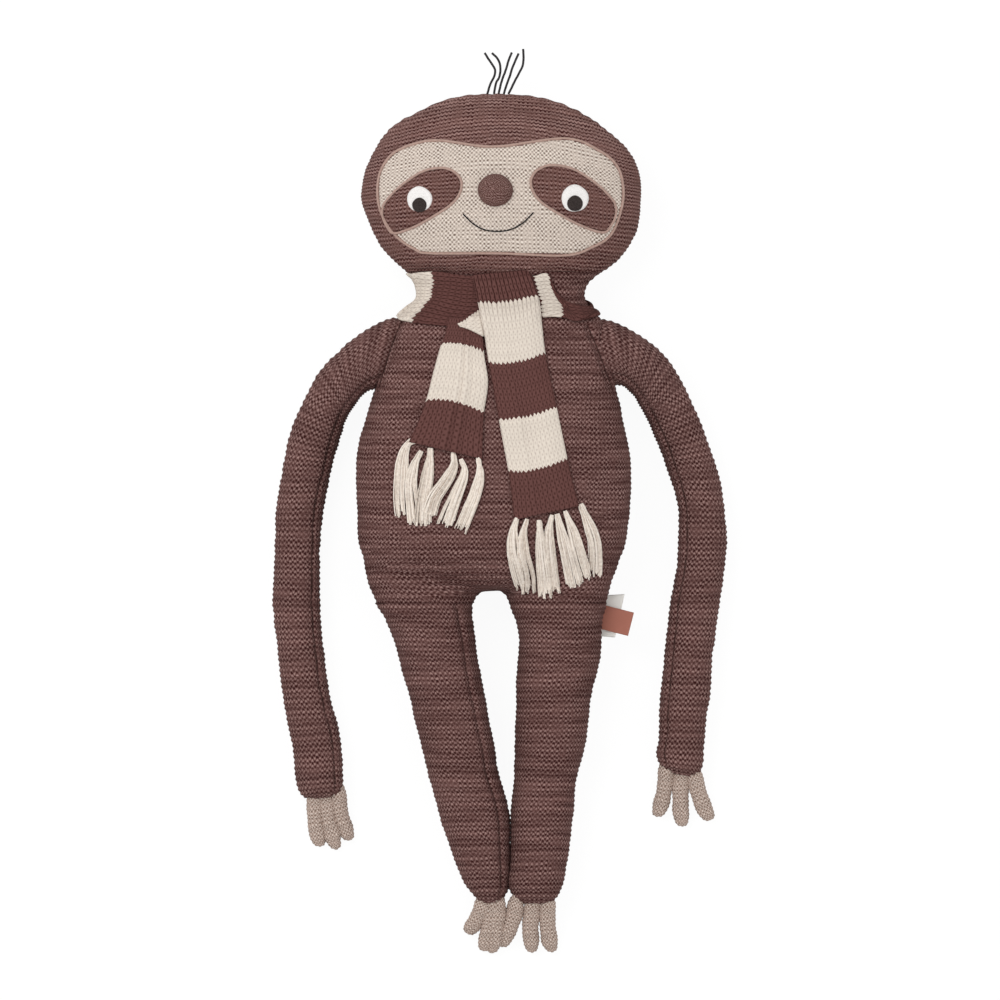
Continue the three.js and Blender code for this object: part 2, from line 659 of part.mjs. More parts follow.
// The slot in a sleeve's end that a set of claws goes into, with room for them to bend
function clawSlot(form, set) {
  const root = clawRoot(form, set.tilt);
  const [first, last] = [set.claws[0], set.claws[set.claws.length - 1]];
  const [, rootShare] = clawShares.find(([along]) => along === 0);
  const thickness = 2 * (rootShare * claw.width + claw.clearance);
  const [innerShare] = clawShares[0];
  const depth = -innerShare * claw.length + claw.clearance;
  const width = (last[0] - first[0]) * claw.length + thickness;
  const geometry = new THREE.BoxGeometry(width, depth + claw.length, thickness);
  geometry.translate(((first[0] + last[0]) / 2) * claw.length, (depth - claw.length) / 2, 0);
  geometry.rotateZ(THREE.MathUtils.degToRad(set.tilt));
  geometry.translate(root.at.x, root.at.y, root.at.z);
  return solidOf(geometry);
}

function clawPieces(form, name) {
  const set = clawSets[name];
  return set.claws.map((_, index) =>
    piece(`${name}_claw_${index + 1}`, clawSolid(form, set, index), colours.clawKnit));
}

// A limb: a sleeve of knit, open where it is sewn on and where the claws go in, and the stuffing in it
function limbPieces(form, room, limb, clawName) {
  const claws = clawSlot(form, clawSets[clawName]);
  const sleeve = formSolid(form, 0).subtract(formSolid(form, -knitThickness));
  const stuffing = formSolid(form, -knitThickness - fit);
  return [
    piece(`${limb}_cover`, sleeve.intersect(room).subtract(claws), colours.brownKnit),
    piece(`${limb}_stuffing`, stuffing.intersect(room).subtract(claws), colours.stuffing),
    ...clawPieces(form, clawName),
  ];
}

// The torso's form, thicker all round by the scarf's band
const bandForm = {
  ...torsoForm,
  sections: torsoForm.sections.map((section) => ({
    ...section,
    half: section.half + scarf.thickness + 2 * fit,
    rise: section.rise + scarf.thickness + 2 * fit,
  })),
};

// Where the band's lower edge comes furthest down the chest
const bandEnd = neckFoldY - Math.max(...wrapOutlineShares.map(([, down]) => down)) * torso.width;

// The height of the toy's front, with the scarf's band on the neck
function chestHeight(x, y) {
  const skin = Math.max(
    frontHeight(torsoForm, x, y),
    frontHeight(legForms.left, x, y),
    frontHeight(legForms.right, x, y),
  );
  const onBand = THREE.MathUtils.smoothstep(y, bandEnd - scarf.ease, bandEnd);
  return skin + onBand * (frontHeight(bandForm, x, y) - skin);
}

// The scarf's band: a ring of knit that the neck fills, cut to the band's outline
function wrapSolid() {
  const ring = formSolid(torsoForm, fit + scarf.thickness).subtract(formSolid(torsoForm, fit));
  const outline = wrapOutlineShares.map(
    ([out, down]) => new THREE.Vector2(out * torso.width, neckFoldY - down * torso.width),
  );
  return ring.intersect(prism(outline)).intersect(torsoRoom);
}

// What a tail and its tassels must stay out of: the toy's skin and the band, each with its gap
const chestRoom = trunkSolid(fit).add(
  formSolid(torsoForm, scarf.thickness + 2 * fit).intersect(
    everywhereFrom({ y: bandEnd - fit }),
  ),
);

// A tail of the scarf: a strip between its two edges that lies on the chest in lengthwise folds
function tailSolid(tail, shares) {
  const points = [];
  const faces = [];
  const columns = scarf.columns;
  const rows = shares.length;
  for (const layer of [0, 1]) {
    for (const [leftX, leftY, rightX, rightY] of shares) {
      for (let column = 0; column <= columns; column += 1) {
        const t = column / columns;
        const x = THREE.MathUtils.lerp(leftX, rightX, t) * tail.length;
        const y = neckFoldY - THREE.MathUtils.lerp(leftY, rightY, t) * tail.length;
        const fold = scarf.pleat * (1 - Math.cos(2 * Math.PI * tail.pleats * t)) / 2;
        const height = chestHeight(x, y) + scarf.lieGap + fold;
        points.push(new THREE.Vector3(x, y, height + layer * scarf.thickness));
      }
    }
  }
  const at = (layer, row, column) => (layer * rows + row) * (columns + 1) + column;
  const quad = (a, b, c, d) => faces.push([a, b, c], [a, c, d]);
  for (let row = 0; row + 1 < rows; row += 1) {
    for (let column = 0; column < columns; column += 1) {
      quad(at(1, row, column), at(1, row + 1, column), at(1, row + 1, column + 1), at(1, row, column + 1));
      quad(at(0, row, column), at(0, row, column + 1), at(0, row + 1, column + 1), at(0, row + 1, column));
    }
    quad(at(0, row, 0), at(0, row + 1, 0), at(1, row + 1, 0), at(1, row, 0));
    quad(at(1, row, columns), at(1, row + 1, columns), at(0, row + 1, columns), at(0, row, columns));
  }
  for (let column = 0; column < columns; column += 1) {
    const last = rows - 1;
    quad(at(1, 0, column), at(1, 0, column + 1), at(0, 0, column + 1), at(0, 0, column));
    quad(at(0, last, column), at(0, last, column + 1), at(1, last, column + 1), at(1, last, column));
  }
  if (signedVolume(points, faces) < 0) faces.forEach((face) => face.reverse());
  const geometry = new THREE.BufferGeometry().setFromPoints(points);
  geometry.setIndex(faces.flat());
  return solidOf(geometry).subtract(chestRoom);
}

// A fringe of tassels, spread evenly from the tail's end to their free ends
function tasselPieces(tail, shares, ends, name) {
  const [leftX, leftY, rightX, rightY] = shares[shares.length - 1];
  const pieces = [];
  for (let index = 0; index < tail.tassels; index += 1) {
    const rootShare = (index + 0.5) / tail.tassels;
    const tipShare = index / (tail.tassels - 1);
    const rootX = THREE.MathUtils.lerp(leftX, rightX, rootShare) * tail.length;
    const rootY = neckFoldY - THREE.MathUtils.lerp(leftY, rightY, rootShare) * tail.length
      - scarf.tasselGap;
    const tipX = THREE.MathUtils.lerp(ends.first[0], ends.last[0], tipShare) * tail.length;
    const tipY = neckFoldY - THREE.MathUtils.lerp(ends.first[1], ends.last[1], tipShare) * tail.length;
    const sections = tasselWidthShares.map((share, step) => {
      const t = step / (tasselWidthShares.length - 1);
      const x = THREE.MathUtils.lerp(rootX, tipX, t * t * (3 - 2 * t));
      const y = THREE.MathUtils.lerp(rootY, tipY, t);
      const half = (share * tail.tasselWidth) / 2;
      const rise = (share * tail.tasselDepth) / 2;
      const height = Math.max(...[-half, 0, half].map((aside) => chestHeight(x + aside, y)));
      return {
        centre: new THREE.Vector3(x, y, height + scarf.lieGap + rise),
        across: xAxis,
        up: zAxis,
        half,
        rise,
      };
    });
    const tassel = loft(sections, scarf.tasselSides, roundPower).subtract(chestRoom);
    pieces.push(piece(`${name}_tassel_${index + 1}`, tassel, colours.fringe));
  }
  return pieces;
}

// A flat label that stands out of the right leg's outer seam
function labelSolid(size, height) {
  const geometry = new THREE.BoxGeometry(size.width, size.height, size.thickness);
  geometry.rotateZ(THREE.MathUtils.degToRad(size.turn));
  geometry.translate(size.x, hipFoldY - size.belowFold, height);
  return solidOf(geometry).subtract(trunkSolid(fit)).subtract(everywhereFrom({ y: hipFoldY - fit }));
}

const sloth = new THREE.Group();
sloth.add(...facePieces());
sloth.add(piece('nose', noseSolid(), colours.noseKnit));
sloth.add(piece('mouth_stitch', mouthSolid(), colours.thread));
sloth.add(...hairPieces());
sloth.add(...torsoPieces());
for (const side of ['left', 'right']) {
  const armRoom = aboveFloor.subtract(insideSeam(seams[side], fit / 2));
  sloth.add(...limbPieces(armForms[side], armRoom, `${side}_arm`, `${side}_hand`));
  sloth.add(...limbPieces(legForms[side], legRoom[side], `${side}_leg`, `${side}_foot`));
}
sloth.add(piece('scarf_wrap', wrapSolid(), colours.scarf));
sloth.add(piece('scarf_long_tail', tailSolid(longTail, longTailShares), colours.scarf));
sloth.add(piece('scarf_short_tail', tailSolid(shortTail, shortTailShares), colours.scarf));
sloth.add(...tasselPieces(longTail, longTailShares, longTasselShares, 'long_tail'));
sloth.add(...tasselPieces(shortTail, shortTailShares, shortTasselShares, 'short_tail'));
const labelHeight = (leg.depth - restCut) / 2;
sloth.add(piece('side_label', labelSolid(label, labelHeight), colours.label));
sloth.add(piece('care_label', labelSolid(careLabel, labelHeight - label.thickness - fit), colours.care));

export default sloth;
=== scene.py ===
"""Dresses the knitted sloth toy: stuffed knit skins, a felt and cord face, a striped scarf with fringe."""

import logging
import math
from collections.abc import Callable, Sequence
from dataclasses import dataclass, field
from enum import Enum
from functools import partial

import bmesh
import bpy
import numpy as np
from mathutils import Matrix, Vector
from mathutils.bvhtree import BVHTree
from mathutils.geometry import delaunay_2d_cdt


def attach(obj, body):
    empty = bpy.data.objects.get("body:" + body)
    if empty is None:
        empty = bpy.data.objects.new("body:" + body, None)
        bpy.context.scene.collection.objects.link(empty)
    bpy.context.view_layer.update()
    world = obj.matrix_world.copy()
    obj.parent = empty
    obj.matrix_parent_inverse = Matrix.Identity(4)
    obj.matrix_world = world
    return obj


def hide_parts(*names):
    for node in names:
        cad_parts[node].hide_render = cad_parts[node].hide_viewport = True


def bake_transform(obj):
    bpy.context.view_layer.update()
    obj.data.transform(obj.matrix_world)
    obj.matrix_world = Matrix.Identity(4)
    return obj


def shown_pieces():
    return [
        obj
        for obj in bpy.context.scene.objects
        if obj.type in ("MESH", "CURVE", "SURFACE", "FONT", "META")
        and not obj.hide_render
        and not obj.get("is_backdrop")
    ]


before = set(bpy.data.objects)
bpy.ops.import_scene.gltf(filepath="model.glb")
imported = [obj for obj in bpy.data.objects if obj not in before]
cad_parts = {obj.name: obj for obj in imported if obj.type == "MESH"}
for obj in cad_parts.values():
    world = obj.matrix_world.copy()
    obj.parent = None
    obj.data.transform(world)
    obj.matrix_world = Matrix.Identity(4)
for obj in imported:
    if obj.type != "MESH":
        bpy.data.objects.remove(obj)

log = logging.getLogger("sloth")

# Lengths in this file are millimetres until a mesh is made of them.
MM = 0.001
ROWS = "rows"  # the UV map that follows the knitting: across the stitches, along the rows, in metres

# Where the head and the legs fold, and the height of the side seams, as in the model of the frame
NECK_FOLD = 158.4
HIP_FOLD = -73.3
SEAM_HEIGHT = 40.0
FLOOR_GAP = 0.25
RAY_HEIGHT = 0.4  # metres, well above the toy

# The picture's scale and middle, for what is placed by its pixels
PIXEL = 0.7
PICTURE_MIDDLE = (500.0, 500.0)
MIDDLE_Y = -1.2

# How the seam between an arm and the body pulls in: how deep, how far to each side, and the heights
# between which it fades in from the side of the body to its front
CREASE_DEPTH = 2.8
CREASE_REACH = 2.2
CREASE_HEIGHTS = (18.0, 34.0)

# The cream yarn's darkest colour is painted shade in the holes and its palest a painted highlight on the
# strands
CREAM = {"hollow_shade": "#b6a89c", "body": "#d2c5b9", "light": "#e4d9cc"}  # the scarf's pale yarn


class Side(Enum):
    """A side of the toy as someone sees it who looks down on it."""

    LEFT = "left"
    RIGHT = "right"

    @property
    def outward(self) -> float:
        """The sign of X away from the toy's middle."""
        return -1.0 if self is Side.LEFT else 1.0


class Held(Enum):
    """How a piece of cloth is held."""

    DRAPED = "draped"
    HUNG = "hung"
    LAID = "laid"


def place(points: list) -> np.ndarray:
    """Turns pixels of the picture into places on the toy.

    Args:
        points: Pairs of pixel coordinates, across and down.

    Returns:
        An array of X and Y in millimetres.
    """
    found = np.array(points, float)
    return np.stack(
        [(found[..., 0] - PICTURE_MIDDLE[0]) * PIXEL, (PICTURE_MIDDLE[1] - found[..., 1]) * PIXEL + MIDDLE_Y],
        axis=-1,
    )


def smoothstep(value: np.ndarray, low: float, high: float) -> np.ndarray:
    """Rises from 0 at low to 1 at high, with soft ends."""
    t = np.clip((np.asarray(value, float) - low) / (high - low), 0, 1)
    return t * t * (3 - 2 * t)


def travelled(points: np.ndarray) -> np.ndarray:
    """Measures the way along a line of points, from the first one to each of them."""
    return np.concatenate([[0], np.cumsum(np.linalg.norm(np.diff(points, axis=0), axis=1))])


def between(rows: np.ndarray, way: np.ndarray, at: np.ndarray) -> np.ndarray:
    """Reads a table at new places along its way, in straight lines from row to row."""
    return np.stack([np.interp(at, way, column) for column in rows.T], axis=-1)


def curved(rows: np.ndarray, way: np.ndarray, at: np.ndarray) -> np.ndarray:
    """Reads a table at new places along its way, on a smooth curve through its rows.

    Args:
        rows: The table.
        way: How far along each row stands.
        at: How far along the new ones stand.

    Returns:
        The new rows.
    """
    slope = np.gradient(rows, way, axis=0)
    spot = np.clip(np.searchsorted(way, at, side="right") - 1, 0, len(way) - 2)
    flat = (-1, *[1] * (rows.ndim - 1))
    step = (way[spot + 1] - way[spot]).reshape(flat)
    t = (at - way[spot]).reshape(flat) / step
    return (
        (2 * t**3 - 3 * t**2 + 1) * rows[spot]
        + (t**3 - 2 * t**2 + t) * step * slope[spot]
        + (-2 * t**3 + 3 * t**2) * rows[spot + 1]
        + (t**3 - t**2) * step * slope[spot + 1]
    )


def linear(colour: str) -> tuple[float, float, float, float]:
    """Turns an sRGB hex colour into the linear one that a socket takes.

    Args:
        colour: Six hex digits after a hash.

    Returns:
        Red, green, blue and alpha.
    """
    channels = [int(colour[i : i + 2], 16) / 255 for i in (1, 3, 5)]
    return (*[c / 12.92 if c <= 0.04045 else ((c + 0.055) / 1.055) ** 2.4 for c in channels], 1.0)


def add_node(
    tree: bpy.types.NodeTree,
    kind: str,
    inputs: object = (),
    stops: Sequence[tuple[float, str]] = (),
    **settings: object,
) -> bpy.types.Node:
    """Adds a node to a tree.

    Args:
        tree: The node tree.
        kind: The node's type.
        inputs: Values, sockets or nodes for the inputs, in order or by name. None leaves one alone.
        stops: Places on a colour ramp, each with its hex colour.
        **settings: The node's own settings.

    Returns:
        The node.
    """
    node = tree.nodes.new(kind)
    for name, value in settings.items():
        setattr(node, name, value)
    if stops:
        elements = node.color_ramp.elements
        while len(elements) < len(stops):
            elements.new(0.5)
        for element, (position, colour) in zip(elements, stops):
            element.position, element.color = position, linear(colour)
    for key, value in inputs.items() if isinstance(inputs, dict) else enumerate(inputs):
        if isinstance(value, bpy.types.Node):
            value = value.outputs[0]
        if isinstance(value, bpy.types.NodeSocket):
            tree.links.new(value, node.inputs[key])
        elif value is not None:
            node.inputs[key].default_value = value
    return node


def new_material(name: str) -> tuple[bpy.types.Material, bpy.types.NodeTree, bpy.types.Node]:
    """Starts a material.

    Args:
        name: The real material's name.

    Returns:
        The material, its node tree and its surface shader, which is linked to the output.
    """
    material = bpy.data.materials.new(name)
    material.use_nodes = True
    tree = material.node_tree
    tree.nodes.clear()
    surface = add_node(tree, "ShaderNodeBsdfPrincipled")
    add_node(tree, "ShaderNodeOutputMaterial", [surface])
    return material, tree, surface


def cover(
    tree: bpy.types.NodeTree,
    surface: bpy.types.Node,
    colour: bpy.types.NodeSocket,
    height: bpy.types.Node,
    relief: float,
    constants: dict[str, float],
) -> None:
    """Colours a material's surface and raises it.

    Args:
        tree: The material's tree.
        surface: Its shader.
        colour: Its colour.
        height: The height of its pattern, from 0 to 1.
        relief: How high that stands, in millimetres.
        constants: Values for the shader's sockets.
    """
    bump = add_node(tree, "ShaderNodeBump", {"Distance": relief * MM, "Height": height})
    tree.links.new(colour, surface.inputs["Base Color"])
    tree.links.new(bump.outputs[0], surface.inputs["Normal"])
    for name, value in constants.items():
        surface.inputs[name].default_value = value


@dataclass(frozen=True)
class YarnCloth:
    """What the knits share: matt cotton yarn with specks of lighter and darker fibre, unevenly drawn.

    Stitches and rows have their real size in millimetres. Single fibres are too fine to show, so they are
    drawn as specks of the size that grain gives.
    """

    name: str
    hollow_shade: str
    body: str
    light: str
    stitch: float = 3.3
    row: float = 1.75
    relief: float = 0.5
    speckle: float = 0.34
    grain: float = 0.8
    unevenness: float = 0.12
    wander: float = 0.9
    groove: float = 0.0

    def coordinates(self, tree: bpy.types.NodeTree) -> tuple[bpy.types.NodeSocket, bpy.types.Node]:
        """Reads the UV map of the knitting and lets its rows wander a little.

        Args:
            tree: The material's tree.

        Returns:
            The place across in metres, and the place along in rows.
        """
        add = partial(add_node, tree)
        uv = add("ShaderNodeUVMap", uv_map=ROWS)
        wide = add("ShaderNodeTexNoise", {"Vector": uv, "Scale": 24.0, "Detail": 1.0})
        near = add("ShaderNodeTexNoise", {"Vector": uv, "Scale": 170.0, "Detail": 1.0})
        shift = add("ShaderNodeVectorMath", [wide.outputs[1], (0.003,) * 3], operation="MULTIPLY")
        shake = add(
            "ShaderNodeVectorMath", [near.outputs[1], (self.wander * 0.002,) * 3], operation="MULTIPLY"
        )
        both = add("ShaderNodeVectorMath", [shift, shake], operation="ADD")
        moved = add("ShaderNodeVectorMath", [uv, both], operation="ADD")
        parts = add("ShaderNodeSeparateXYZ", [moved])
        along = add("ShaderNodeMath", [parts.outputs[1], 1 / (self.row * MM)], operation="MULTIPLY")
        return parts.outputs[0], along

    def finish(
        self,
        tree: bpy.types.NodeTree,
        surface: bpy.types.Node,
        height: bpy.types.Node,
        across: bpy.types.NodeSocket,
        along: bpy.types.Node,
        colour: bpy.types.NodeSocket | None = None,
    ) -> None:
        """Colours and raises the yarn from its height, with painted shade in the holes and a painted
        highlight on the crowns, specks of fibre and uneven rows.

        Args:
            tree: The material's tree.
            surface: Its shader.
            height: The yarn's height, 0 in the holes and 1 on the crown of a stitch.
            across: The place across the knitting in metres.
            along: The place along it in rows.
            colour: A colour that takes the place of the ramp's.
        """
        add = partial(add_node, tree)
        uv = add("ShaderNodeUVMap", uv_map=ROWS)
        specks = add("ShaderNodeTexNoise", {"Vector": uv, "Scale": 1 / (self.grain * MM), "Detail": 2.0})
        speck = add("ShaderNodeMath", [specks, 0.5], operation="SUBTRACT")
        mixed = add("ShaderNodeMath", [speck, self.speckle * 3, height], operation="MULTIPLY_ADD")
        pairs = add("ShaderNodeMath", [along, 0.5], operation="MULTIPLY")
        course = add("ShaderNodeMath", [pairs], operation="FLOOR")
        reach = add("ShaderNodeMath", [across, 14.0], operation="MULTIPLY")
        jump = add("ShaderNodeMath", [course, 5.37], operation="MULTIPLY")
        spot = add("ShaderNodeCombineXYZ", [reach, jump])
        tension = add("ShaderNodeTexNoise", {"Vector": spot, "Scale": 1.0, "Detail": 1.0})
        tone = add(
            "ShaderNodeMapRange",
            [tension, 0.3, 0.7, 1 - 1.4 * self.unevenness, 1 + 0.6 * self.unevenness],
        )
        # Here and there the knitting was pulled tight, which leaves a groove between two ridges, sunk in the
        # bump and darkened with painted shade
        within = add("ShaderNodeMath", [pairs], operation="FRACT")
        aside = add("ShaderNodeMath", [within, 0.5], operation="SUBTRACT")
        away = add("ShaderNodeMath", [aside], operation="ABSOLUTE")
        dip = add("ShaderNodeMapRange", [away, 0.04, 0.26, -self.groove, 0.0])
        tight = add("ShaderNodeMapRange", [tension, 0.42, 0.52, 1.0, 0.0])
        mixed = add("ShaderNodeMath", [dip, tight, mixed], operation="MULTIPLY_ADD")
        if colour is None:
            # The ramp paints shade into the holes and a highlight onto the crowns of the stitches
            yarn = [(0.0, self.hollow_shade), (0.5, self.body), (1.0, self.light)]
            colour = add("ShaderNodeValToRGB", [mixed], yarn).outputs[0]
        toned = add("ShaderNodeMix", {0: 1.0, 6: colour, 7: tone}, data_type="RGBA", blend_type="MULTIPLY")
        matt = {"Roughness": 0.95, "Specular IOR Level": 0.08}
        cover(tree, surface, toned.outputs[2], mixed, self.relief, matt)


@dataclass(frozen=True)
class PurlKnit(YarnCloth):
    """Cotton knitted purl side out: loops of yarn with holes between them, in ridges where it is tight."""

    gather: float = 0.5
    ribs: float = 0.0
    sway: float = 0.0

    def material(self) -> bpy.types.Material:
        """Builds the material.

        Returns:
            The material.
        """
        material, tree, surface = new_material(self.name)
        add = partial(add_node, tree)
        across, along = self.coordinates(tree)
        turn = add("ShaderNodeMath", [across, 2 * math.pi / (self.stitch * MM)], operation="MULTIPLY")
        wave = add("ShaderNodeMath", [turn], operation="COSINE")
        swayed = add("ShaderNodeMath", [wave, self.sway, along], operation="MULTIPLY_ADD")
        climb = add("ShaderNodeMath", [swayed, math.pi], operation="MULTIPLY")
        course = add("ShaderNodeMath", [climb], operation="COSINE")
        # Where the knitting is pulled together, its rows close up into ridges with a groove between them
        uv = add("ShaderNodeUVMap", uv_map=ROWS)
        flat = add("ShaderNodeMapping", {"Vector": uv, "Scale": (10.0, 60.0, 1.0)})
        pull = add("ShaderNodeTexNoise", {"Vector": flat, "Scale": 1.0, "Detail": 1.0})
        ribbed = add("ShaderNodeMapRange", [pull, 0.42, 0.68, self.ribs, min(1.0, self.ribs + self.gather)])
        open_knit = add("ShaderNodeMath", [1.0, ribbed], operation="SUBTRACT")
        strength = add("ShaderNodeMath", [wave, open_knit, ribbed], operation="MULTIPLY_ADD")
        holes = add("ShaderNodeMath", [course, strength], operation="MULTIPLY")
        slack = add("ShaderNodeTexNoise", {"Vector": uv, "Scale": 120.0, "Detail": 2.0})
        depth = add("ShaderNodeMapRange", [slack, 0.35, 0.65, -0.25, -0.78])
        height = add("ShaderNodeMath", [holes, depth, 0.5], operation="MULTIPLY_ADD")
        self.finish(tree, surface, height, across, along)
        return material


@dataclass(frozen=True)
class StripedKnit(YarnCloth):
    """Stocking stitch in stripes of two yarns: columns of small Vs, so that each stripe ends in teeth."""

    second_hollow_shade: str = "#b6a89c"
    second_body: str = "#d2c5b9"
    second_light: str = "#e4d9cc"
    changes: tuple[float, ...] = ()
    ribs: float = 0.35
    gathered: float = 0.0

    def material(self) -> bpy.types.Material:
        """Builds the material, in the first yarn up to the first change and in the second one after it.

        Returns:
            The material.
        """
        material, tree, surface = new_material(self.name)
        add = partial(add_node, tree)
        across, along = self.coordinates(tree)
        columns = add("ShaderNodeMath", [across, 1 / (self.stitch * MM)], operation="MULTIPLY")
        inside = add("ShaderNodeMath", [columns], operation="FRACT")
        centred = add("ShaderNodeMath", [inside, 0.5], operation="SUBTRACT")
        aside = add("ShaderNodeMath", [centred], operation="ABSOLUTE")
        slanted = add("ShaderNodeMath", [aside, -1.7, along], operation="MULTIPLY_ADD")
        turn = add("ShaderNodeMath", [across, 2 * math.pi / (self.stitch * MM)], operation="MULTIPLY")
        wave = add("ShaderNodeMath", [turn], operation="COSINE")
        climb = add("ShaderNodeMath", [along, math.pi], operation="MULTIPLY")
        rise = add("ShaderNodeMath", [climb], operation="COSINE")
        dots = add("ShaderNodeMath", [rise, wave], operation="MULTIPLY")
        strand = add("ShaderNodeMapRange", [dots, 0.0, 1.0, 1.0, 0.42])
        # The columns stand apart as ribs, and most so where the scarf is gathered; the valleys between them
        # are sunk in the bump and darkened with painted shade
        pulled = add(
            "ShaderNodeMapRange",
            [along, 0.5 * self.gathered / self.row, max(1.0, self.gathered / self.row), 0.1, 1.0 - self.ribs],
        )
        valley = add("ShaderNodeMapRange", [aside, 0.3, 0.5, 1.0, pulled], interpolation_type="SMOOTHSTEP")
        height = add("ShaderNodeMath", [strand, valley], operation="MULTIPLY")
        course = add("ShaderNodeMath", [slanted], operation="FLOOR")
        passed = add("ShaderNodeValue")
        passed.outputs[0].default_value = 0.0
        for change in self.changes:
            over = add("ShaderNodeMath", [course, change / self.row], operation="GREATER_THAN")
            passed = add("ShaderNodeMath", [passed, over], operation="ADD")
        turned = add("ShaderNodeMath", [passed, 2.0], operation="MODULO")
        # Each yarn's ramp paints shade into the holes and valleys and a highlight onto the strands
        yarn = [(0.0, self.hollow_shade), (0.55, self.body), (1.0, self.light)]
        first = add("ShaderNodeValToRGB", [height], yarn)
        yarn = [(0.0, self.second_hollow_shade), (0.5, self.second_body), (1.0, self.second_light)]
        second = add("ShaderNodeValToRGB", [height], yarn)
        colour = add("ShaderNodeMix", {0: turned, 6: first, 7: second}, data_type="RGBA")
        self.finish(tree, surface, height, across, along, colour.outputs[2])
        return material


@dataclass(frozen=True)
class YarnThread:
    """Loose cotton yarn or sewing thread: each strand has a shade of its own, with small uneven fibres.

    Its fibres are too fine to show, so they are drawn as patches of about 2 mm.
    """

    name: str
    dark: str
    light: str
    roughness: float = 0.85

    def material(self) -> bpy.types.Material:
        """Builds the material.

        Returns:
            The material.
        """
        material, tree, surface = new_material(self.name)
        add = partial(add_node, tree)
        spot = add("ShaderNodeTexCoord")
        noise = add("ShaderNodeTexNoise", {"Vector": spot.outputs["Object"], "Scale": 500.0, "Detail": 2.0})
        strand = add("ShaderNodeAttribute", attribute_name="strand")
        mixed = add("ShaderNodeMath", [strand.outputs["Fac"], 0.6, noise], operation="MULTIPLY_ADD")
        colour = add("ShaderNodeValToRGB", [mixed], [(0.35, self.dark), (1.05, self.light)])
        soft = {"Roughness": self.roughness, "Specular IOR Level": 0.2}
        cover(tree, surface, colour.outputs[0], noise, 0.2, soft)
        return material


@dataclass(frozen=True)
class Felt:
    """Pressed felt: flat colour with a short tangled nap and no weave.

    The nap is too fine to show, so it is drawn with flecks of about 0.6 mm.
    """

    name: str
    dark: str
    light: str

    def material(self) -> bpy.types.Material:
        """Builds the material.

        Returns:
            The material.
        """
        material, tree, surface = new_material(self.name)
        add = partial(add_node, tree)
        spot = add("ShaderNodeTexCoord")
        nap = add("ShaderNodeTexNoise", {"Vector": spot.outputs["Object"], "Scale": 1600.0, "Detail": 3.0})
        colour = add("ShaderNodeValToRGB", [nap], [(0.3, self.dark), (0.6, self.light)])
        matt = {"Roughness": 0.95, "Specular IOR Level": 0.1, "Sheen Weight": 0.1}
        cover(tree, surface, colour.outputs[0], nap, 0.15, matt)
        return material


@dataclass(frozen=True)
class WovenTape:
    """Polyester label tape: fine threads that cross at right angles, about 0.5 mm apart here so they show."""

    name: str
    dark: str
    light: str
    thread: float = 0.5

    def material(self) -> bpy.types.Material:
        """Builds the material.

        Returns:
            The material.
        """
        material, tree, surface = new_material(self.name)
        add = partial(add_node, tree)
        uv = add("ShaderNodeUVMap", uv_map=ROWS)
        waves = [
            add(
                "ShaderNodeTexWave",
                {"Vector": uv, "Scale": 0.31 / (self.thread * MM), "Distortion": 0.6},
                bands_direction=direction,
            )
            for direction in ("X", "Y")
        ]
        cross = add("ShaderNodeMath", [waves[0].outputs[1], waves[1].outputs[1]], operation="MULTIPLY")
        colour = add("ShaderNodeValToRGB", [cross], [(0.0, self.dark), (0.6, self.light)])
        satin = {"Roughness": 0.7, "Specular IOR Level": 0.3}
        cover(tree, surface, colour.outputs[0], cross, 0.12, satin)
        return material


def link(name: str, mesh: bpy.types.Mesh) -> bpy.types.Object:
    """Puts a mesh in the scene as an object at the origin."""
    piece = bpy.data.objects.new(name, mesh)
    bpy.context.scene.collection.objects.link(piece)
    return piece


def make_piece(
    name: str,
    points: np.ndarray,
    faces: list,
    material: bpy.types.Material,
    rows: np.ndarray | None = None,
) -> bpy.types.Object:
    """Makes a smooth piece whose faces point outwards.

    Args:
        name: The piece's name.
        points: Its points in millimetres.
        faces: Lists of point numbers.
        material: Its material.
        rows: The place across and along the knitting, in millimetres, for each corner of each face.

    Returns:
        The piece's object.
    """
    mesh = bpy.data.meshes.new(name)
    mesh.from_pydata((points * MM).tolist(), [], faces)
    if rows is not None:
        layer = mesh.uv_layers.new(name=ROWS)
        layer.data.foreach_set("uv", (rows * MM).astype(np.float32).ravel())
    if enclosed(mesh) < 0:
        mesh.flip_normals()
    mesh.materials.append(material)
    mesh.shade_smooth()
    return link(name, mesh)


def read(
    items: bpy.types.bpy_prop_collection, name: str, width: int = 1, kind: type = np.int32
) -> np.ndarray:
    """Reads one thing of each of a mesh's points, edges, faces or corners.

    Args:
        items: The points, edges, faces or corners.
        name: What is read.
        width: How many numbers it is.
        kind: What numbers they are.

    Returns:
        A row an item, or a number an item where the width is 1.
    """
    found = np.zeros(len(items) * width, kind)
    items.foreach_get(name, found)
    return found.reshape(-1, width) if width > 1 else found


def enclosed(mesh: bpy.types.Mesh) -> float:
    """Measures six times the volume inside a closed mesh, which is negative where its faces point inwards.

    Args:
        mesh: The mesh.

    Returns:
        Six times its volume, in cubic metres.
    """
    mesh.calc_loop_triangles()
    corners = read(mesh.loop_triangles, "vertices", 3)
    places = read(mesh.vertices, "co", 3, np.float32).astype(float)
    a, b, c = places[corners].transpose(1, 0, 2)
    return float((a * np.cross(b, c)).sum())


def evaluated_mesh(piece: bpy.types.Object) -> bpy.types.Mesh:
    """Gives the plain mesh that an object shows, and removes the object.

    Args:
        piece: The object.

    Returns:
        The mesh, with its modifiers worked in.
    """
    graph = bpy.context.evaluated_depsgraph_get()
    mesh = bpy.data.meshes.new_from_object(piece.evaluated_get(graph))
    bpy.data.objects.remove(piece)
    return mesh


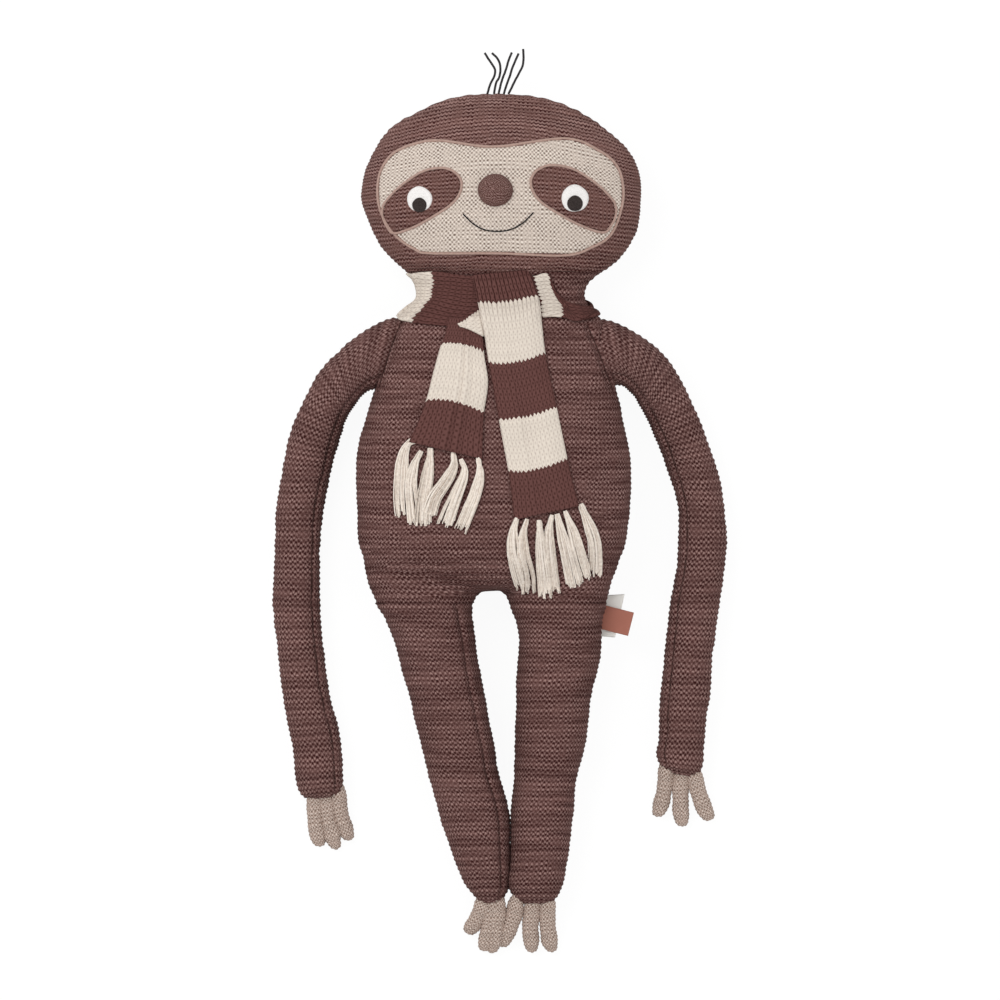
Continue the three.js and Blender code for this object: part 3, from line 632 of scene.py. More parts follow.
def modified(name: str, mesh: bpy.types.Mesh, kind: str, **values: object) -> bpy.types.Mesh:
    """Gives the mesh that a modifier makes of another.

    Args:
        name: The name of the object that holds it meanwhile.
        mesh: The mesh.
        kind: The modifier's type.
        **values: The modifier's settings.

    Returns:
        The new mesh.
    """
    holder = link(name, mesh)
    modifier = holder.modifiers.new(kind.lower(), kind)
    for key, value in values.items():
        setattr(modifier, key, value)
    return evaluated_mesh(holder)


def lumps(points: np.ndarray, size: float, seed: int) -> np.ndarray:
    """Gives a smooth uneven field, about -1 to 1, as stuffing has.

    Args:
        points: Places in millimetres.
        size: How far apart the lumps are.
        seed: Which field it is.

    Returns:
        One value a point.
    """
    random = np.random.default_rng(seed)
    total = np.zeros(points.shape[:-1])
    for _ in range(14):
        direction = random.normal(size=3)
        direction *= 2 * math.pi / size / np.linalg.norm(direction) * random.uniform(0.6, 1.4)
        total += np.sin(points @ direction + random.uniform(0, 2 * math.pi))
    return total / 5.0


def ridges(along: np.ndarray, row: float) -> np.ndarray:
    """Gives the swell of the knitting's ridges, each of which is two rows, from -1 to 1."""
    return np.cos(math.pi * along / row)


class StuffedForm:
    """A soft form between cross-sections, each a rounded oval.

    A section is a row of its middle (X, Y, Z), its direction across (X, Y), its half width and its rise.
    """

    def __init__(self, sections: np.ndarray, power: float) -> None:
        """Smooths the sections.

        Args:
            sections: One row a section.
            power: 2 for a plain oval, and more for fuller corners.
        """
        self.power = power
        self.sections = self.smoothed(sections)

    @staticmethod
    def way(sections: np.ndarray) -> np.ndarray:
        """Measures the way along the form's surface from its first section to each of them."""
        return travelled(sections[:, [0, 1, 2, 5, 6]])

    def smoothed(self, sections: np.ndarray, parts: int = 20) -> np.ndarray:
        """Runs a smooth curve through the sections.

        Args:
            sections: The sections that were given.
            parts: How many new ones stand for each step.

        Returns:
            The closer sections.
        """
        way = self.way(sections)
        steps = np.diff(way)[:, None] * np.arange(parts) / parts
        out = curved(sections, way, np.append(way[:-1, None] + steps, way[-1]))
        out[:, 3:5] /= np.maximum(np.linalg.norm(out[:, 3:5], axis=1, keepdims=True), 1e-9)
        out[:, 5:] = np.maximum(out[:, 5:], 0)
        return out

    def cut(self, low: float = -1e9, high: float = 1e9) -> "StuffedForm":
        """Gives the part of a form along Y between two places, with its ends on them.

        Args:
            low: Where it starts along Y.
            high: Where it ends.

        Returns:
            The part.
        """
        new = StuffedForm.__new__(StuffedForm)
        new.power = self.power
        y = self.sections[:, 1]
        order = np.argsort(y)
        kept = self.sections[(y > low) & (y < high)]
        ends = [between(self.sections[order], y[order], at) for at in (low, high) if y.min() < at < y.max()]
        joined = np.vstack([kept, *ends])
        downward = y[0] > y[-1]
        new.sections = joined[np.argsort(-joined[:, 1] if downward else joined[:, 1])]
        return new

    def oval(self, sides: int) -> np.ndarray:
        """Gives unit steps round a section, evenly spaced, from the middle of the back.

        Args:
            sides: How many steps there are.

        Returns:
            Their places across and up, each from -1 to 1.
        """
        wide = self.sections[:, 5].max()
        deep = self.sections[:, 6].max()
        turn = np.linspace(-math.pi / 2, 1.5 * math.pi, 1441)
        unit = np.stack([self.rounded(np.cos(turn)), self.rounded(np.sin(turn))], axis=1)
        way = travelled(unit * [wide, deep])
        return between(unit, way, np.arange(sides) / sides * way[-1])

    def rounded(self, value: np.ndarray) -> np.ndarray:
        """Bends a cosine or sine to the section's power."""
        return np.sign(value) * np.abs(value) ** (2 / self.power)

    def rings(self, spacing: float, sides: int) -> np.ndarray:
        """Gives points on the surface.

        Args:
            spacing: How far apart the rings are.
            sides: How many points a ring has.

        Returns:
            An array of rings, sides and places.
        """
        way = self.way(self.sections)
        count = max(3, int(round(way[-1] / spacing)))
        rows = between(self.sections, way, np.linspace(0, way[-1], count + 1))
        unit = self.oval(sides)
        across = np.concatenate([rows[:, 3:5], np.zeros((len(rows), 1))], axis=1)
        flat = across[:, None, :] * (unit[:, 0] * rows[:, 5:6])[..., None]
        tall = np.array([0, 0, 1.0]) * (unit[:, 1] * rows[:, 6:7])[..., None]
        return rows[:, None, :3] + flat + tall

    def section(self, y: np.ndarray) -> tuple[np.ndarray, ...]:
        """Gives the middle, its height, the half width and the rise of a form along Y at some places."""
        rows = self.sections[np.argsort(self.sections[:, 1])]
        return tuple(np.interp(y, rows[:, 1], rows[:, k]) for k in (0, 2, 5, 6))

    def front(self, x: np.ndarray, y: np.ndarray) -> np.ndarray:
        """Gives the height of the front of a form along Y.

        Args:
            x: Places across.
            y: Places along.

        Returns:
            The heights, which are the middle's outside the form.
        """
        middle, height, half, rise = self.section(y)
        reach = np.clip(np.abs(x - middle) / np.maximum(half, 1e-6), 0, 1)
        return height + rise * (1 - reach**self.power) ** (1 / self.power)


def surface_normals(grid: np.ndarray, closed: bool) -> np.ndarray:
    """Gives the unit normals of a grid of points.

    Args:
        grid: Rows, columns and places.
        closed: Whether the last column meets the first.

    Returns:
        An array of the same shape. Its sign follows the order of the grid.
    """
    along = np.gradient(grid, axis=0)
    if closed:
        across = np.roll(grid, -1, axis=1) - np.roll(grid, 1, axis=1)
    else:
        across = np.gradient(grid, axis=1)
    normal = np.cross(along, across)
    return normal / np.maximum(np.linalg.norm(normal, axis=2, keepdims=True), 1e-9)


# Where the arms are sewn to the body, in pixels of the picture
SHOULDER_LINES = {
    Side.LEFT: [(401, 322), (391.5, 346), (384.5, 368), (378, 391)],
    Side.RIGHT: [(588, 327), (597.5, 349), (605, 369), (612, 388)],
}


def shoulder_crease(points: np.ndarray) -> np.ndarray:
    """Gives how deep the seam between an arm and the body pulls in each point of the front.

    Args:
        points: Places in millimetres, in any shape that ends in X, Y and Z.

    Returns:
        The depths in millimetres.
    """
    depth = np.zeros(points.shape[:-1])
    for line in SHOULDER_LINES.values():
        path = even_path(place(line), 2.0)
        away = np.min([np.hypot(points[..., 0] - x, points[..., 1] - y) for x, y in path[:, :2]], axis=0)
        shown = smoothstep(points[..., 2], *CREASE_HEIGHTS)
        depth += CREASE_DEPTH * np.exp(-((away / CREASE_REACH) ** 2)) * shown
    return depth


@dataclass
class KnitSkin:
    """A skin of knit over a stuffed form, with its ridges, its stuffing's lumps and an optional seam."""

    name: str
    form: StuffedForm
    material: bpy.types.Material
    row: float = 1.75
    spacing: float = 0.9
    sides: int = 160
    swell: float = 0.35
    unevenness: float = 0.7
    lump: float = 34.0
    small_lump: float = 11.0
    small_unevenness: float = 0.25
    seam_turn: float | None = None
    seam_depth: float = 1.5
    seam_reach: float = 5.0  # in degrees round the form
    seam_ends: tuple[int, int] = (8, 32)  # how many rings the seam's thread leaves out at each end
    start: float = 0.0
    arch: Callable[[np.ndarray, np.ndarray], np.ndarray] | None = None
    crease: Callable[[np.ndarray], np.ndarray] | None = None
    seed: int = 1
    seam: np.ndarray | None = field(default=None, init=False)

    def build(self) -> bpy.types.Object:
        """Makes the skin as one closed mesh, and notes where its seam runs.

        Returns:
            The skin.
        """
        grid = self.form.rings(self.spacing, self.sides)
        if np.ptp(grid[-1], axis=0).max() < 1e-3:
            grid = grid[:-1]
        ring = np.linalg.norm(np.diff(np.concatenate([grid, grid[:, :1]], axis=1), axis=1), axis=2)
        across = np.concatenate([np.zeros((len(grid), 1)), np.cumsum(ring, axis=1)], axis=1)
        across -= across[:, self.sides // 2, None]
        front = grid[:, self.sides // 2]
        along = np.repeat((self.start + travelled(front))[:, None], self.sides + 1, axis=1)
        if self.arch is not None:
            wrapped = np.concatenate([grid, grid[:, :1]], axis=1)
            along = along + self.arch(wrapped[..., 0], wrapped[..., 1])
        normal = surface_normals(grid, True)
        outward = grid - grid.mean(axis=1, keepdims=True)
        normal *= np.sign((normal * outward).sum())
        push = self.swell * ridges(along[:, :-1], self.row)
        push += self.unevenness * lumps(grid, self.lump, self.seed)
        push += self.small_unevenness * lumps(grid, self.small_lump, self.seed + 50)
        if self.crease is not None:
            push -= self.crease(grid)
        if self.seam_turn is not None:
            unit = self.form.oval(self.sides)
            turn = np.degrees(np.arctan2(unit[:, 1], unit[:, 0]))
            push -= self.seam_depth * np.exp(-(((turn - self.seam_turn) / self.seam_reach) ** 2))
        grid = grid + normal * push[..., None]
        grid[..., 2] = np.maximum(grid[..., 2], FLOOR_GAP)
        if self.seam_turn is not None:
            first, last = self.seam_ends
            self.seam = grid[first:-last, int(np.abs(turn - self.seam_turn).argmin())]
        return self.closed(grid, across, along)

    def closed(self, grid: np.ndarray, across: np.ndarray, along: np.ndarray) -> bpy.types.Object:
        """Joins the rings and closes both ends.

        Args:
            grid: Points, ring by ring.
            across: Places across the knitting, with one more column than the grid.
            along: Places along it, likewise.

        Returns:
            The piece.
        """
        count, sides = grid.shape[:2]
        number = np.arange(count * sides).reshape(count, sides)
        turned = np.concatenate([number, number[:, :1]], axis=1)
        quads = np.stack([turned[:-1, :-1], turned[:-1, 1:], turned[1:, 1:], turned[1:, :-1]], axis=-1)
        stacked = np.stack([across, along], axis=-1)
        corners = np.stack([stacked[:-1, :-1], stacked[:-1, 1:], stacked[1:, 1:], stacked[1:, :-1]], axis=-2)
        faces = quads.reshape(-1, 4).tolist()
        rows = [corners.reshape(-1, 2)]
        hubs = [grid[0].mean(axis=0), grid[-1].mean(axis=0)]
        for hub, ring, order in ((count * sides, 0, 1), (count * sides + 1, count - 1, -1)):
            for side in range(sides):
                a, b = turned[ring, side], turned[ring, side + 1]
                pair = [a, b] if order < 0 else [b, a]
                faces.append([hub, *pair])
                places = [stacked[ring, side], stacked[ring, side + 1]]
                pair_rows = places if order < 0 else places[::-1]
                rows.append(np.array([stacked[ring, side], *pair_rows]))
        points = np.concatenate([grid.reshape(-1, 3), hubs])
        return make_piece(self.name, points, faces, self.material, np.concatenate(rows))


def sections_along_y(
    size: tuple[float, float, float], start: float, direction: float, shares: list
) -> np.ndarray:
    """Turns a table of shares into the sections of a form along Y.

    Args:
        size: The form's length, width and depth.
        start: The fold line that it starts from.
        direction: 1 towards the head, -1 away from it.
        shares: Rows of the place along, the middle, the half width, the front and the back.

    Returns:
        Sections for a StuffedForm.
    """
    length, width, depth = size
    along, middle, half, front, back = np.array(shares, float).T
    return np.stack(
        [
            middle * width,
            start + direction * along * length,
            (front + back) / 2 * depth,
            np.ones(len(along)),
            np.zeros(len(along)),
            half * width,
            (front - back) / 2 * depth,
        ],
        axis=1,
    )


class Ground:
    """Surfaces that cloth is laid on, as seen from above."""

    def __init__(self, *pieces: bpy.types.Object) -> None:
        """Keeps a search tree of the pieces' faces."""
        self.trees = [BVHTree.FromObject(piece, bpy.context.evaluated_depsgraph_get()) for piece in pieces]

    def height(self, x: np.ndarray, y: np.ndarray, least: float = 0.0) -> np.ndarray:
        """Gives the highest surface below each place.

        Args:
            x: Places across in millimetres.
            y: Places along.
            least: The height where there is nothing.

        Returns:
            The heights.
        """
        found = np.full(x.shape, least)
        for index in np.ndindex(x.shape):
            for tree in self.trees:
                origin = Vector((x[index] * MM, y[index] * MM, RAY_HEIGHT))
                hit = tree.ray_cast(origin, Vector((0, 0, -1)))[0]
                if hit is not None:
                    found[index] = max(found[index], hit.z / MM)
        return found


def softened(grid: np.ndarray, times: int) -> np.ndarray:
    """Blurs a grid of heights, as cloth does that bridges hollows.

    Args:
        grid: The heights.
        times: How often it is blurred.

    Returns:
        The new heights.
    """
    for _ in range(times):
        padded = np.pad(grid, 1, mode="edge")
        near = padded[:-2, 1:-1] + padded[2:, 1:-1] + padded[1:-1, :-2] + padded[1:-1, 2:]
        grid = 0.5 * grid + 0.125 * near
    return grid


def raised(grid: np.ndarray, reach: int) -> np.ndarray:
    """Gives the highest value near each place of a grid.

    Args:
        grid: The heights.
        reach: How many steps of the grid count as near.

    Returns:
        The new heights.
    """
    for _ in range(reach):
        padded = np.pad(grid, 1, mode="edge")
        stack = [padded[:-2, 1:-1], padded[2:, 1:-1], padded[1:-1, :-2], padded[1:-1, 2:], grid]
        grid = np.max(stack, axis=0)
    return grid


def cloth_solid(
    name: str,
    grid: np.ndarray,
    rows: np.ndarray,
    thickness: float,
    material: bpy.types.Material,
    closed: bool = False,
) -> bpy.types.Object:
    """Makes a sheet of cloth with its thickness and rounded edges.

    Args:
        name: The piece's name.
        grid: Points of its middle surface, rows by columns.
        rows: Places across and along the knitting.
        thickness: The cloth's thickness.
        material: Its material.
        closed: Whether its last row meets its first, as in a band round the neck.

    Returns:
        The piece.
    """
    count, columns = grid.shape[:2]
    normal = surface_normals(grid, False)
    if normal[:, columns // 2, 2].sum() < 0 and not closed:
        normal = -normal
    edge = 1 - np.abs(np.linspace(-1, 1, columns)) ** 10 * 0.75
    half = (thickness / 2 * edge)[None, :, None]
    points = np.concatenate([(grid + normal * half).reshape(-1, 3), (grid - normal * half).reshape(-1, 3)])
    number = np.arange(2 * count * columns).reshape(2, count, columns)
    if closed:
        number = np.concatenate([number, number[:, :1]], axis=1)
        rows = np.concatenate([rows, rows[-1:] + (rows[-1:] - rows[-2:-1])], axis=0)
    faces, corners = [], []

    def add(a: np.ndarray, b: np.ndarray, c: np.ndarray, d: np.ndarray, places: list) -> None:
        """Adds faces between four lists of points, with their places in the knitting."""
        faces.extend(np.stack([a, b, c, d], axis=-1).reshape(-1, 4).tolist())
        corners.append(np.stack(places, axis=-2).reshape(-1, 2))

    top, low = number
    r = rows
    inner = [r[:-1, :-1], r[:-1, 1:], r[1:, 1:], r[1:, :-1]]
    add(top[:-1, :-1], top[:-1, 1:], top[1:, 1:], top[1:, :-1], inner)
    add(low[:-1, :-1], low[1:, :-1], low[1:, 1:], low[:-1, 1:], [inner[0], inner[3], inner[2], inner[1]])
    for column, flip in ((0, False), (-1, True)):
        a, b, c, d = top[:-1, column], top[1:, column], low[1:, column], low[:-1, column]
        places = [r[:-1, column], r[1:, column], r[1:, column], r[:-1, column]]
        if flip:
            a, b, c, d = d, c, b, a
            places = places[::-1]
        add(a, b, c, d, places)
    if not closed:
        for line, flip in ((0, True), (-1, False)):
            a, b, c, d = top[line, :-1], top[line, 1:], low[line, 1:], low[line, :-1]
            places = [r[line, :-1], r[line, 1:], r[line, 1:], r[line, :-1]]
            if flip:
                a, b, c, d = d, c, b, a
                places = places[::-1]
            add(a, b, c, d, places)
    return make_piece(name, points, faces, material, np.concatenate(corners))


def even_outline(points: np.ndarray, spacing: float) -> np.ndarray:
    """Runs a smooth closed curve through points, with even steps.

    Args:
        points: The outline's points, in order.
        spacing: The length of a step.

    Returns:
        The new points.
    """
    before, here = np.roll(points, 1, axis=0), points
    after, beyond = np.roll(points, -1, axis=0), np.roll(points, -2, axis=0)
    t = np.linspace(0, 1, 20, endpoint=False)[:, None, None]
    curve = 0.5 * (
        2 * here
        + (after - before) * t
        + (2 * before - 5 * here + 4 * after - beyond) * t**2
        + (3 * here - before - 3 * after + beyond) * t**3
    )
    dense = curve.transpose(1, 0, 2).reshape(-1, points.shape[1])
    ringed = np.concatenate([dense, dense[:1]])
    way = travelled(ringed)
    return between(ringed, way, np.linspace(0, way[-1], max(8, int(way[-1] / spacing)), endpoint=False))


def even_path(points: np.ndarray, spacing: float) -> np.ndarray:
    """Runs a smooth open curve through points, with even steps.

    Args:
        points: The points, in order.
        spacing: The length of a step.

    Returns:
        The new points.
    """
    last = len(points) - 1
    dense = curved(points, np.arange(last + 1), np.arange(12 * last + 1) / 12)
    way = travelled(dense)
    return between(dense, way, np.linspace(0, way[-1], max(2, int(way[-1] / spacing) + 1)))


class PathTree:
    """A node tree that makes something along paths. Its inputs are named for the sizes that they set."""

    inputs: tuple[tuple[str, float], ...] = ()

    def __init__(self, name: str) -> None:
        """Starts the tree with its inputs.

        Args:
            name: The tree's name.
        """
        self.tree = bpy.data.node_groups.new(name, "GeometryNodeTree")
        self.add = partial(add_node, self.tree)
        face = self.tree.interface
        face.new_socket("Paths", in_out="INPUT", socket_type="NodeSocketGeometry")
        for label, value in self.inputs:
            socket = face.new_socket(label, in_out="INPUT", socket_type="NodeSocketFloat")
            socket.default_value = value
        face.new_socket("Finish", in_out="INPUT", socket_type="NodeSocketMaterial")
        face.new_socket("Seed", in_out="INPUT", socket_type="NodeSocketInt")
        face.new_socket("Result", in_out="OUTPUT", socket_type="NodeSocketGeometry")
        self.given = self.add("NodeGroupInput")
        made = self.add("GeometryNodeRealizeInstances", [self.shape()])
        finished = self.add("GeometryNodeSetMaterial", {"Geometry": made, "Material": self.take("Finish")})
        smooth = self.add("GeometryNodeSetShadeSmooth", {"Geometry": finished})
        self.add("NodeGroupOutput", [smooth])

    def take(self, label: str) -> bpy.types.NodeSocket:
        """Gives the tree's input of that name."""
        return self.given.outputs[label]

    def shape(self) -> bpy.types.Node:
        """Makes what the tree repeats."""
        raise NotImplementedError

    def along(
        self, name: str, paths: list, material: bpy.types.Material, closed: bool = False, **sizes: float
    ) -> bpy.types.Object:
        """Runs the tree over paths and keeps a plain mesh.

        Args:
            name: The new piece's name.
            paths: Arrays of points in millimetres.
            material: The finish.
            closed: Whether each path ends where it starts.
            **sizes: The tree's inputs in millimetres, with underscores for spaces.

        Returns:
            The piece.
        """
        points, edges = [], []
        for path in paths:
            first = len(points)
            points.extend((np.asarray(path) * MM).tolist())
            edges.extend([first + i, first + i + 1] for i in range(len(path) - 1))
            if closed:
                edges.append([first + len(path) - 1, first])
        mesh = bpy.data.meshes.new(name + "_paths")
        mesh.from_pydata(points, edges, [])
        holder = link(name + "_paths", mesh)
        modifier = holder.modifiers.new("paths", "NODES")
        modifier.node_group = self.tree
        for socket in self.tree.interface.items_tree:
            if socket.item_type != "SOCKET" or socket.in_out != "INPUT":
                continue
            if socket.name == "Finish":
                modifier[socket.identifier] = material
            elif socket.name == "Seed":
                modifier[socket.identifier] = 7
            elif socket.name.replace(" ", "_").lower() in sizes:
                modifier[socket.identifier] = sizes[socket.name.replace(" ", "_").lower()] * MM
        made = evaluated_mesh(holder)
        made.name = name
        return link(name, made)


class CordTree(PathTree):
    """Round cord or yarn along each path, with a little wobble."""

    inputs = (("Radius", 0.001), ("Wobble", 0.0))

    def shape(self) -> bpy.types.Node:
        """Sweeps a circle along each path.

        Returns:
            The node that gives the cords.
        """
        curve = self.add("GeometryNodeMeshToCurve", [self.take("Paths")])
        chance = self.add("FunctionNodeRandomValue", {"Seed": self.take("Seed")}, data_type="FLOAT")
        marked = self.add(
            "GeometryNodeStoreNamedAttribute",
            {"Geometry": curve, "Name": "strand", "Value": chance.outputs[1]},
            data_type="FLOAT",
            domain="CURVE",
        )
        noise = self.add(
            "ShaderNodeTexNoise", {"Scale": 260.0, "W": self.take("Seed")}, noise_dimensions="4D"
        )
        centred = self.add("ShaderNodeVectorMath", [noise.outputs[1], (0.5, 0.5, 0.5)], operation="SUBTRACT")
        moved = self.add(
            "ShaderNodeVectorMath", {0: centred, "Scale": self.take("Wobble")}, operation="SCALE"
        )
        shaken = self.add("GeometryNodeSetPosition", {"Geometry": marked, "Offset": moved})
        ring = self.add("GeometryNodeCurvePrimitiveCircle", {"Resolution": 6, "Radius": self.take("Radius")})
        return self.add(
            "GeometryNodeCurveToMesh", {"Curve": shaken, "Profile Curve": ring, "Fill Caps": True}
        )


class StitchTree(PathTree):
    """Single stitches of thread, end to end along each path."""

    inputs = (("Pitch", 0.004), ("Length", 0.0034), ("Thickness", 0.001))

    def shape(self) -> bpy.types.Node:
        """Puts one small rounded stitch on each step of the path.

        Returns:
            The node that gives the stitches.
        """
        curve = self.add("GeometryNodeMeshToCurve", [self.take("Paths")])
        even = self.add(
            "GeometryNodeResampleCurve", {"Curve": curve, "Length": self.take("Pitch")}, mode="LENGTH"
        )
        tangent = self.add("GeometryNodeInputTangent")
        turned = self.add("FunctionNodeAlignRotationToVector", {"Vector": tangent}, axis="X")
        ball = self.add("GeometryNodeMeshUVSphere", {"Segments": 8, "Rings": 6, "Radius": 0.5})
        size = self.add(
            "ShaderNodeCombineXYZ",
            [self.take("Length"), self.take("Thickness"), self.take("Thickness")],
        )
        return self.add(
            "GeometryNodeInstanceOnPoints",
            {"Points": even, "Instance": ball, "Rotation": turned, "Scale": size},
        )


# The brown yarn's darkest colour is painted shade in the holes and its palest a painted highlight on the
# crowns
BROWN = {"hollow_shade": "#371614", "body": "#6b4c48", "light": "#a3837d"}
FINISHES = {
    # Cotton of mixed brown fibres, knitted with its purl side out: matt rows of loops with a painted
    # highlight on their crowns and painted shade, nearly black, in the holes between them, and here and there
    # a groove where a row is tight, darkened with painted shade
    "brown": PurlKnit(
        "heathered cotton knit, body", **BROWN, stitch=3.4, row=1.75, ribs=0.1, sway=0.2, gather=0.25,
        groove=0.32,
    ),
    # The same on a narrower tube: the stitches stand a little further apart and the rows are more even
    "limb": PurlKnit(
        "heathered cotton knit, limbs", **BROWN, stitch=3.5, row=1.9, ribs=0.05, sway=0.2, gather=0.15,
        groove=0.2,
    ),
    # The same, finer and stretched over the head, so that its rows close up into ribs round the face
    "head": PurlKnit(
        "heathered cotton knit, head", hollow_shade="#3a1614", body="#75554f", light="#a5847e", stitch=3.0,
        row=1.55, ribs=0.55, sway=0.3, gather=0.3,
    ),
    # Undyed cotton, drawn flat: small pale dots of yarn in a soft grid, the dots a painted highlight on the
    # crowns and the darkest colour painted shade in the holes between them
    "beige": PurlKnit(
        "cotton knit, face", hollow_shade="#7b695d", body="#d3c4b8", light="#fcf0e5", stitch=3.0, row=1.55,
        unevenness=0.03, gather=0.4, ribs=0.1,
    ),
    # The head's knit in small pieces, with its ribs pulled apart
    "patch": PurlKnit(
        "cotton knit, eye patches", hollow_shade="#3a1614", body="#70504a", light="#9c7c76", stitch=3.0, row=1.55,
        ribs=0.4, sway=0.3,
    ),
    # Two yarns twisted together and knitted small, so that light and dark specks hide the stitches
    "nose": PurlKnit(
        "melange knit, nose", hollow_shade="#553631", body="#745550", light="#a08079", stitch=2.2, row=1.2,
        speckle=1.4, relief=0.3, grain=0.9, wander=2.5,
    ),
    # Pale melange yarn in small uneven loops, grainy rather than ribbed
    "claw": PurlKnit(
        "melange knit, claws", hollow_shade="#826b5e", body="#c4ada0", light="#f0e0d4", stitch=2.6, row=1.5,
        speckle=0.6, relief=0.5, wander=1.5,
    ),
    # A folded strip sewn over the edge: a smooth round line without stitches
    "rim": YarnThread("bound seam, face", "#93786e", "#b3968b"),
    # Loose undyed yarns: each catches the light by itself, so a tassel is streaked along its length
    "fringe": YarnThread("cotton yarn, fringe", "#cabbad", "#f6ece1"),
    # Thick waxed thread: nearly black, with a faint shine
    "black": YarnThread("waxed thread, black", "#0b0a0a", "#2a2728", 0.6),
    # Brown sewing yarn at the bottom of a seam: a broken dark line, darker than the yarn as painted shade of
    # the seam's groove
    "seam": YarnThread("sewing yarn, seams", "#3a231f", "#553a35"),
    # Pressed polyester: flat and matt, without a weave
    "white_felt": Felt("felt, white", "#e2dedb", "#f6f3f1"),
    "dark_felt": Felt("felt, black", "#231d1c", "#3f3735"),
    # Dense woven tape: a flat colour with a fine square grain and a slight satin shine
    "tape": WovenTape("woven label tape, terracotta", "#a06353", "#bd7d6b"),
    # The same in thin white ribbon
    "ribbon": WovenTape("care label ribbon", "#f0ede6", "#fbf9f4"),
}


@dataclass
class Workshop:
    """The finishes and node trees that the toy's parts share."""

    finish: dict[str, bpy.types.Material] = field(init=False)
    cords: CordTree = field(init=False)
    stitches: StitchTree = field(init=False)

    def __post_init__(self) -> None:
        """Makes each finish and tree once."""
        self.finish = {name: finish.material() for name, finish in FINISHES.items()}
        self.cords = CordTree("cord along paths")
        self.stitches = StitchTree("stitches along paths")

    def sew(self, name: str, path: np.ndarray) -> bpy.types.Object:
        """Sews a seam along the bottom of a groove, in dark thread that is partly painted shade of the
        groove.

        Args:
            name: The seam's name.
            path: Where it runs, in millimetres.

        Returns:
            The seam's stitches.
        """
        thread = self.stitches.along(name, [path], self.finish["seam"], pitch=3.6, length=4.2, thickness=1.1)
        return thread


HEAD_SHARES = [
    (-0.112, 0.007, 0.292, 0.76, 0.107), (-0.022, 0.011, 0.333, 0.8, 0.07),
    (0.067, 0.023, 0.4, 0.875, 0.024), (0.157, 0.018, 0.448, 0.93, 0),
    (0.291, 0.011, 0.488, 0.982, -0.006), (0.425, 0.005, 0.5, 1, -0.006),
    (0.56, 0.007, 0.491, 0.976, -0.006), (0.694, 0.002, 0.45, 0.917, 0.024),
    (0.806, -0.007, 0.378, 0.833, 0.083), (0.907, -0.003, 0.281, 0.738, 0.19),
    (0.974, -0.003, 0.161, 0.631, 0.333), (1, -0.003, 0, 0.488, 0.488),
]
FACE_SHARES = [
    (-0.239, 0.5), (-0.027, 0.447), (0.263, 0.518), (0.402, 0.412), (0.476, 0.272), (0.5, 0.07),
    (0.488, -0.123), (0.447, -0.325), (0.372, -0.43), (0.263, -0.5), (-0.006, -0.482), (-0.284, -0.482),
    (-0.349, -0.447), (-0.427, -0.325), (-0.488, -0.114), (-0.5, 0.105), (-0.48, 0.272), (-0.427, 0.404),
    (-0.333, 0.482),
]
PATCH_SHARES = [
    (-0.5, 0.306), (-0.417, 0.44), (-0.25, 0.5), (0, 0.44), (0.274, 0.225), (0.44, 0.03),
    (0.51, -0.1), (0.515, -0.25), (0.46, -0.4), (0.37, -0.5), (0.107, -0.396), (-0.143, -0.231),
    (-0.381, -0.037), (-0.488, 0.142),
]
HAIR_PIXELS = [
    [(487.2, 94), (490.5, 83.8), (494.1, 76.6), (495.2, 71.3), (493.7, 66.8), (489.2, 60.1), (484.7, 52.9)],
    [(493.9, 94), (496.3, 82.4), (499, 77.9), (500.4, 71.3), (499.9, 64.1), (497.2, 58.3), (491.9, 52.9)],
    [(498.6, 94), (501.3, 82.4), (505.3, 71.3), (508.8, 60.1), (512, 52.5)],
    [(503.7, 94), (507, 83.8), (509.7, 76.6), (512, 69), (516, 59.2), (518.7, 53.4)],
    [(508.4, 94), (514.6, 81.5), (519.1, 73), (522.7, 65.4), (523.6, 57.9), (523.1, 48.9)],
]


# The eyes in pixels of the picture: the white's middle, then the pupil's, each with its width in millimetres
EYES = {
    Side.LEFT: ((419.5, 199), 17.6, (419.4, 205), 10.2),
    Side.RIGHT: ((575, 198.3), 19.0, (575, 203.4), 11.0),
}
SMILE_PIXELS = [
    (464.5, 215.5), (473, 223.6), (484, 229.6), (497.5, 231.4), (511, 229.4), (523, 222.8), (532, 214),
]


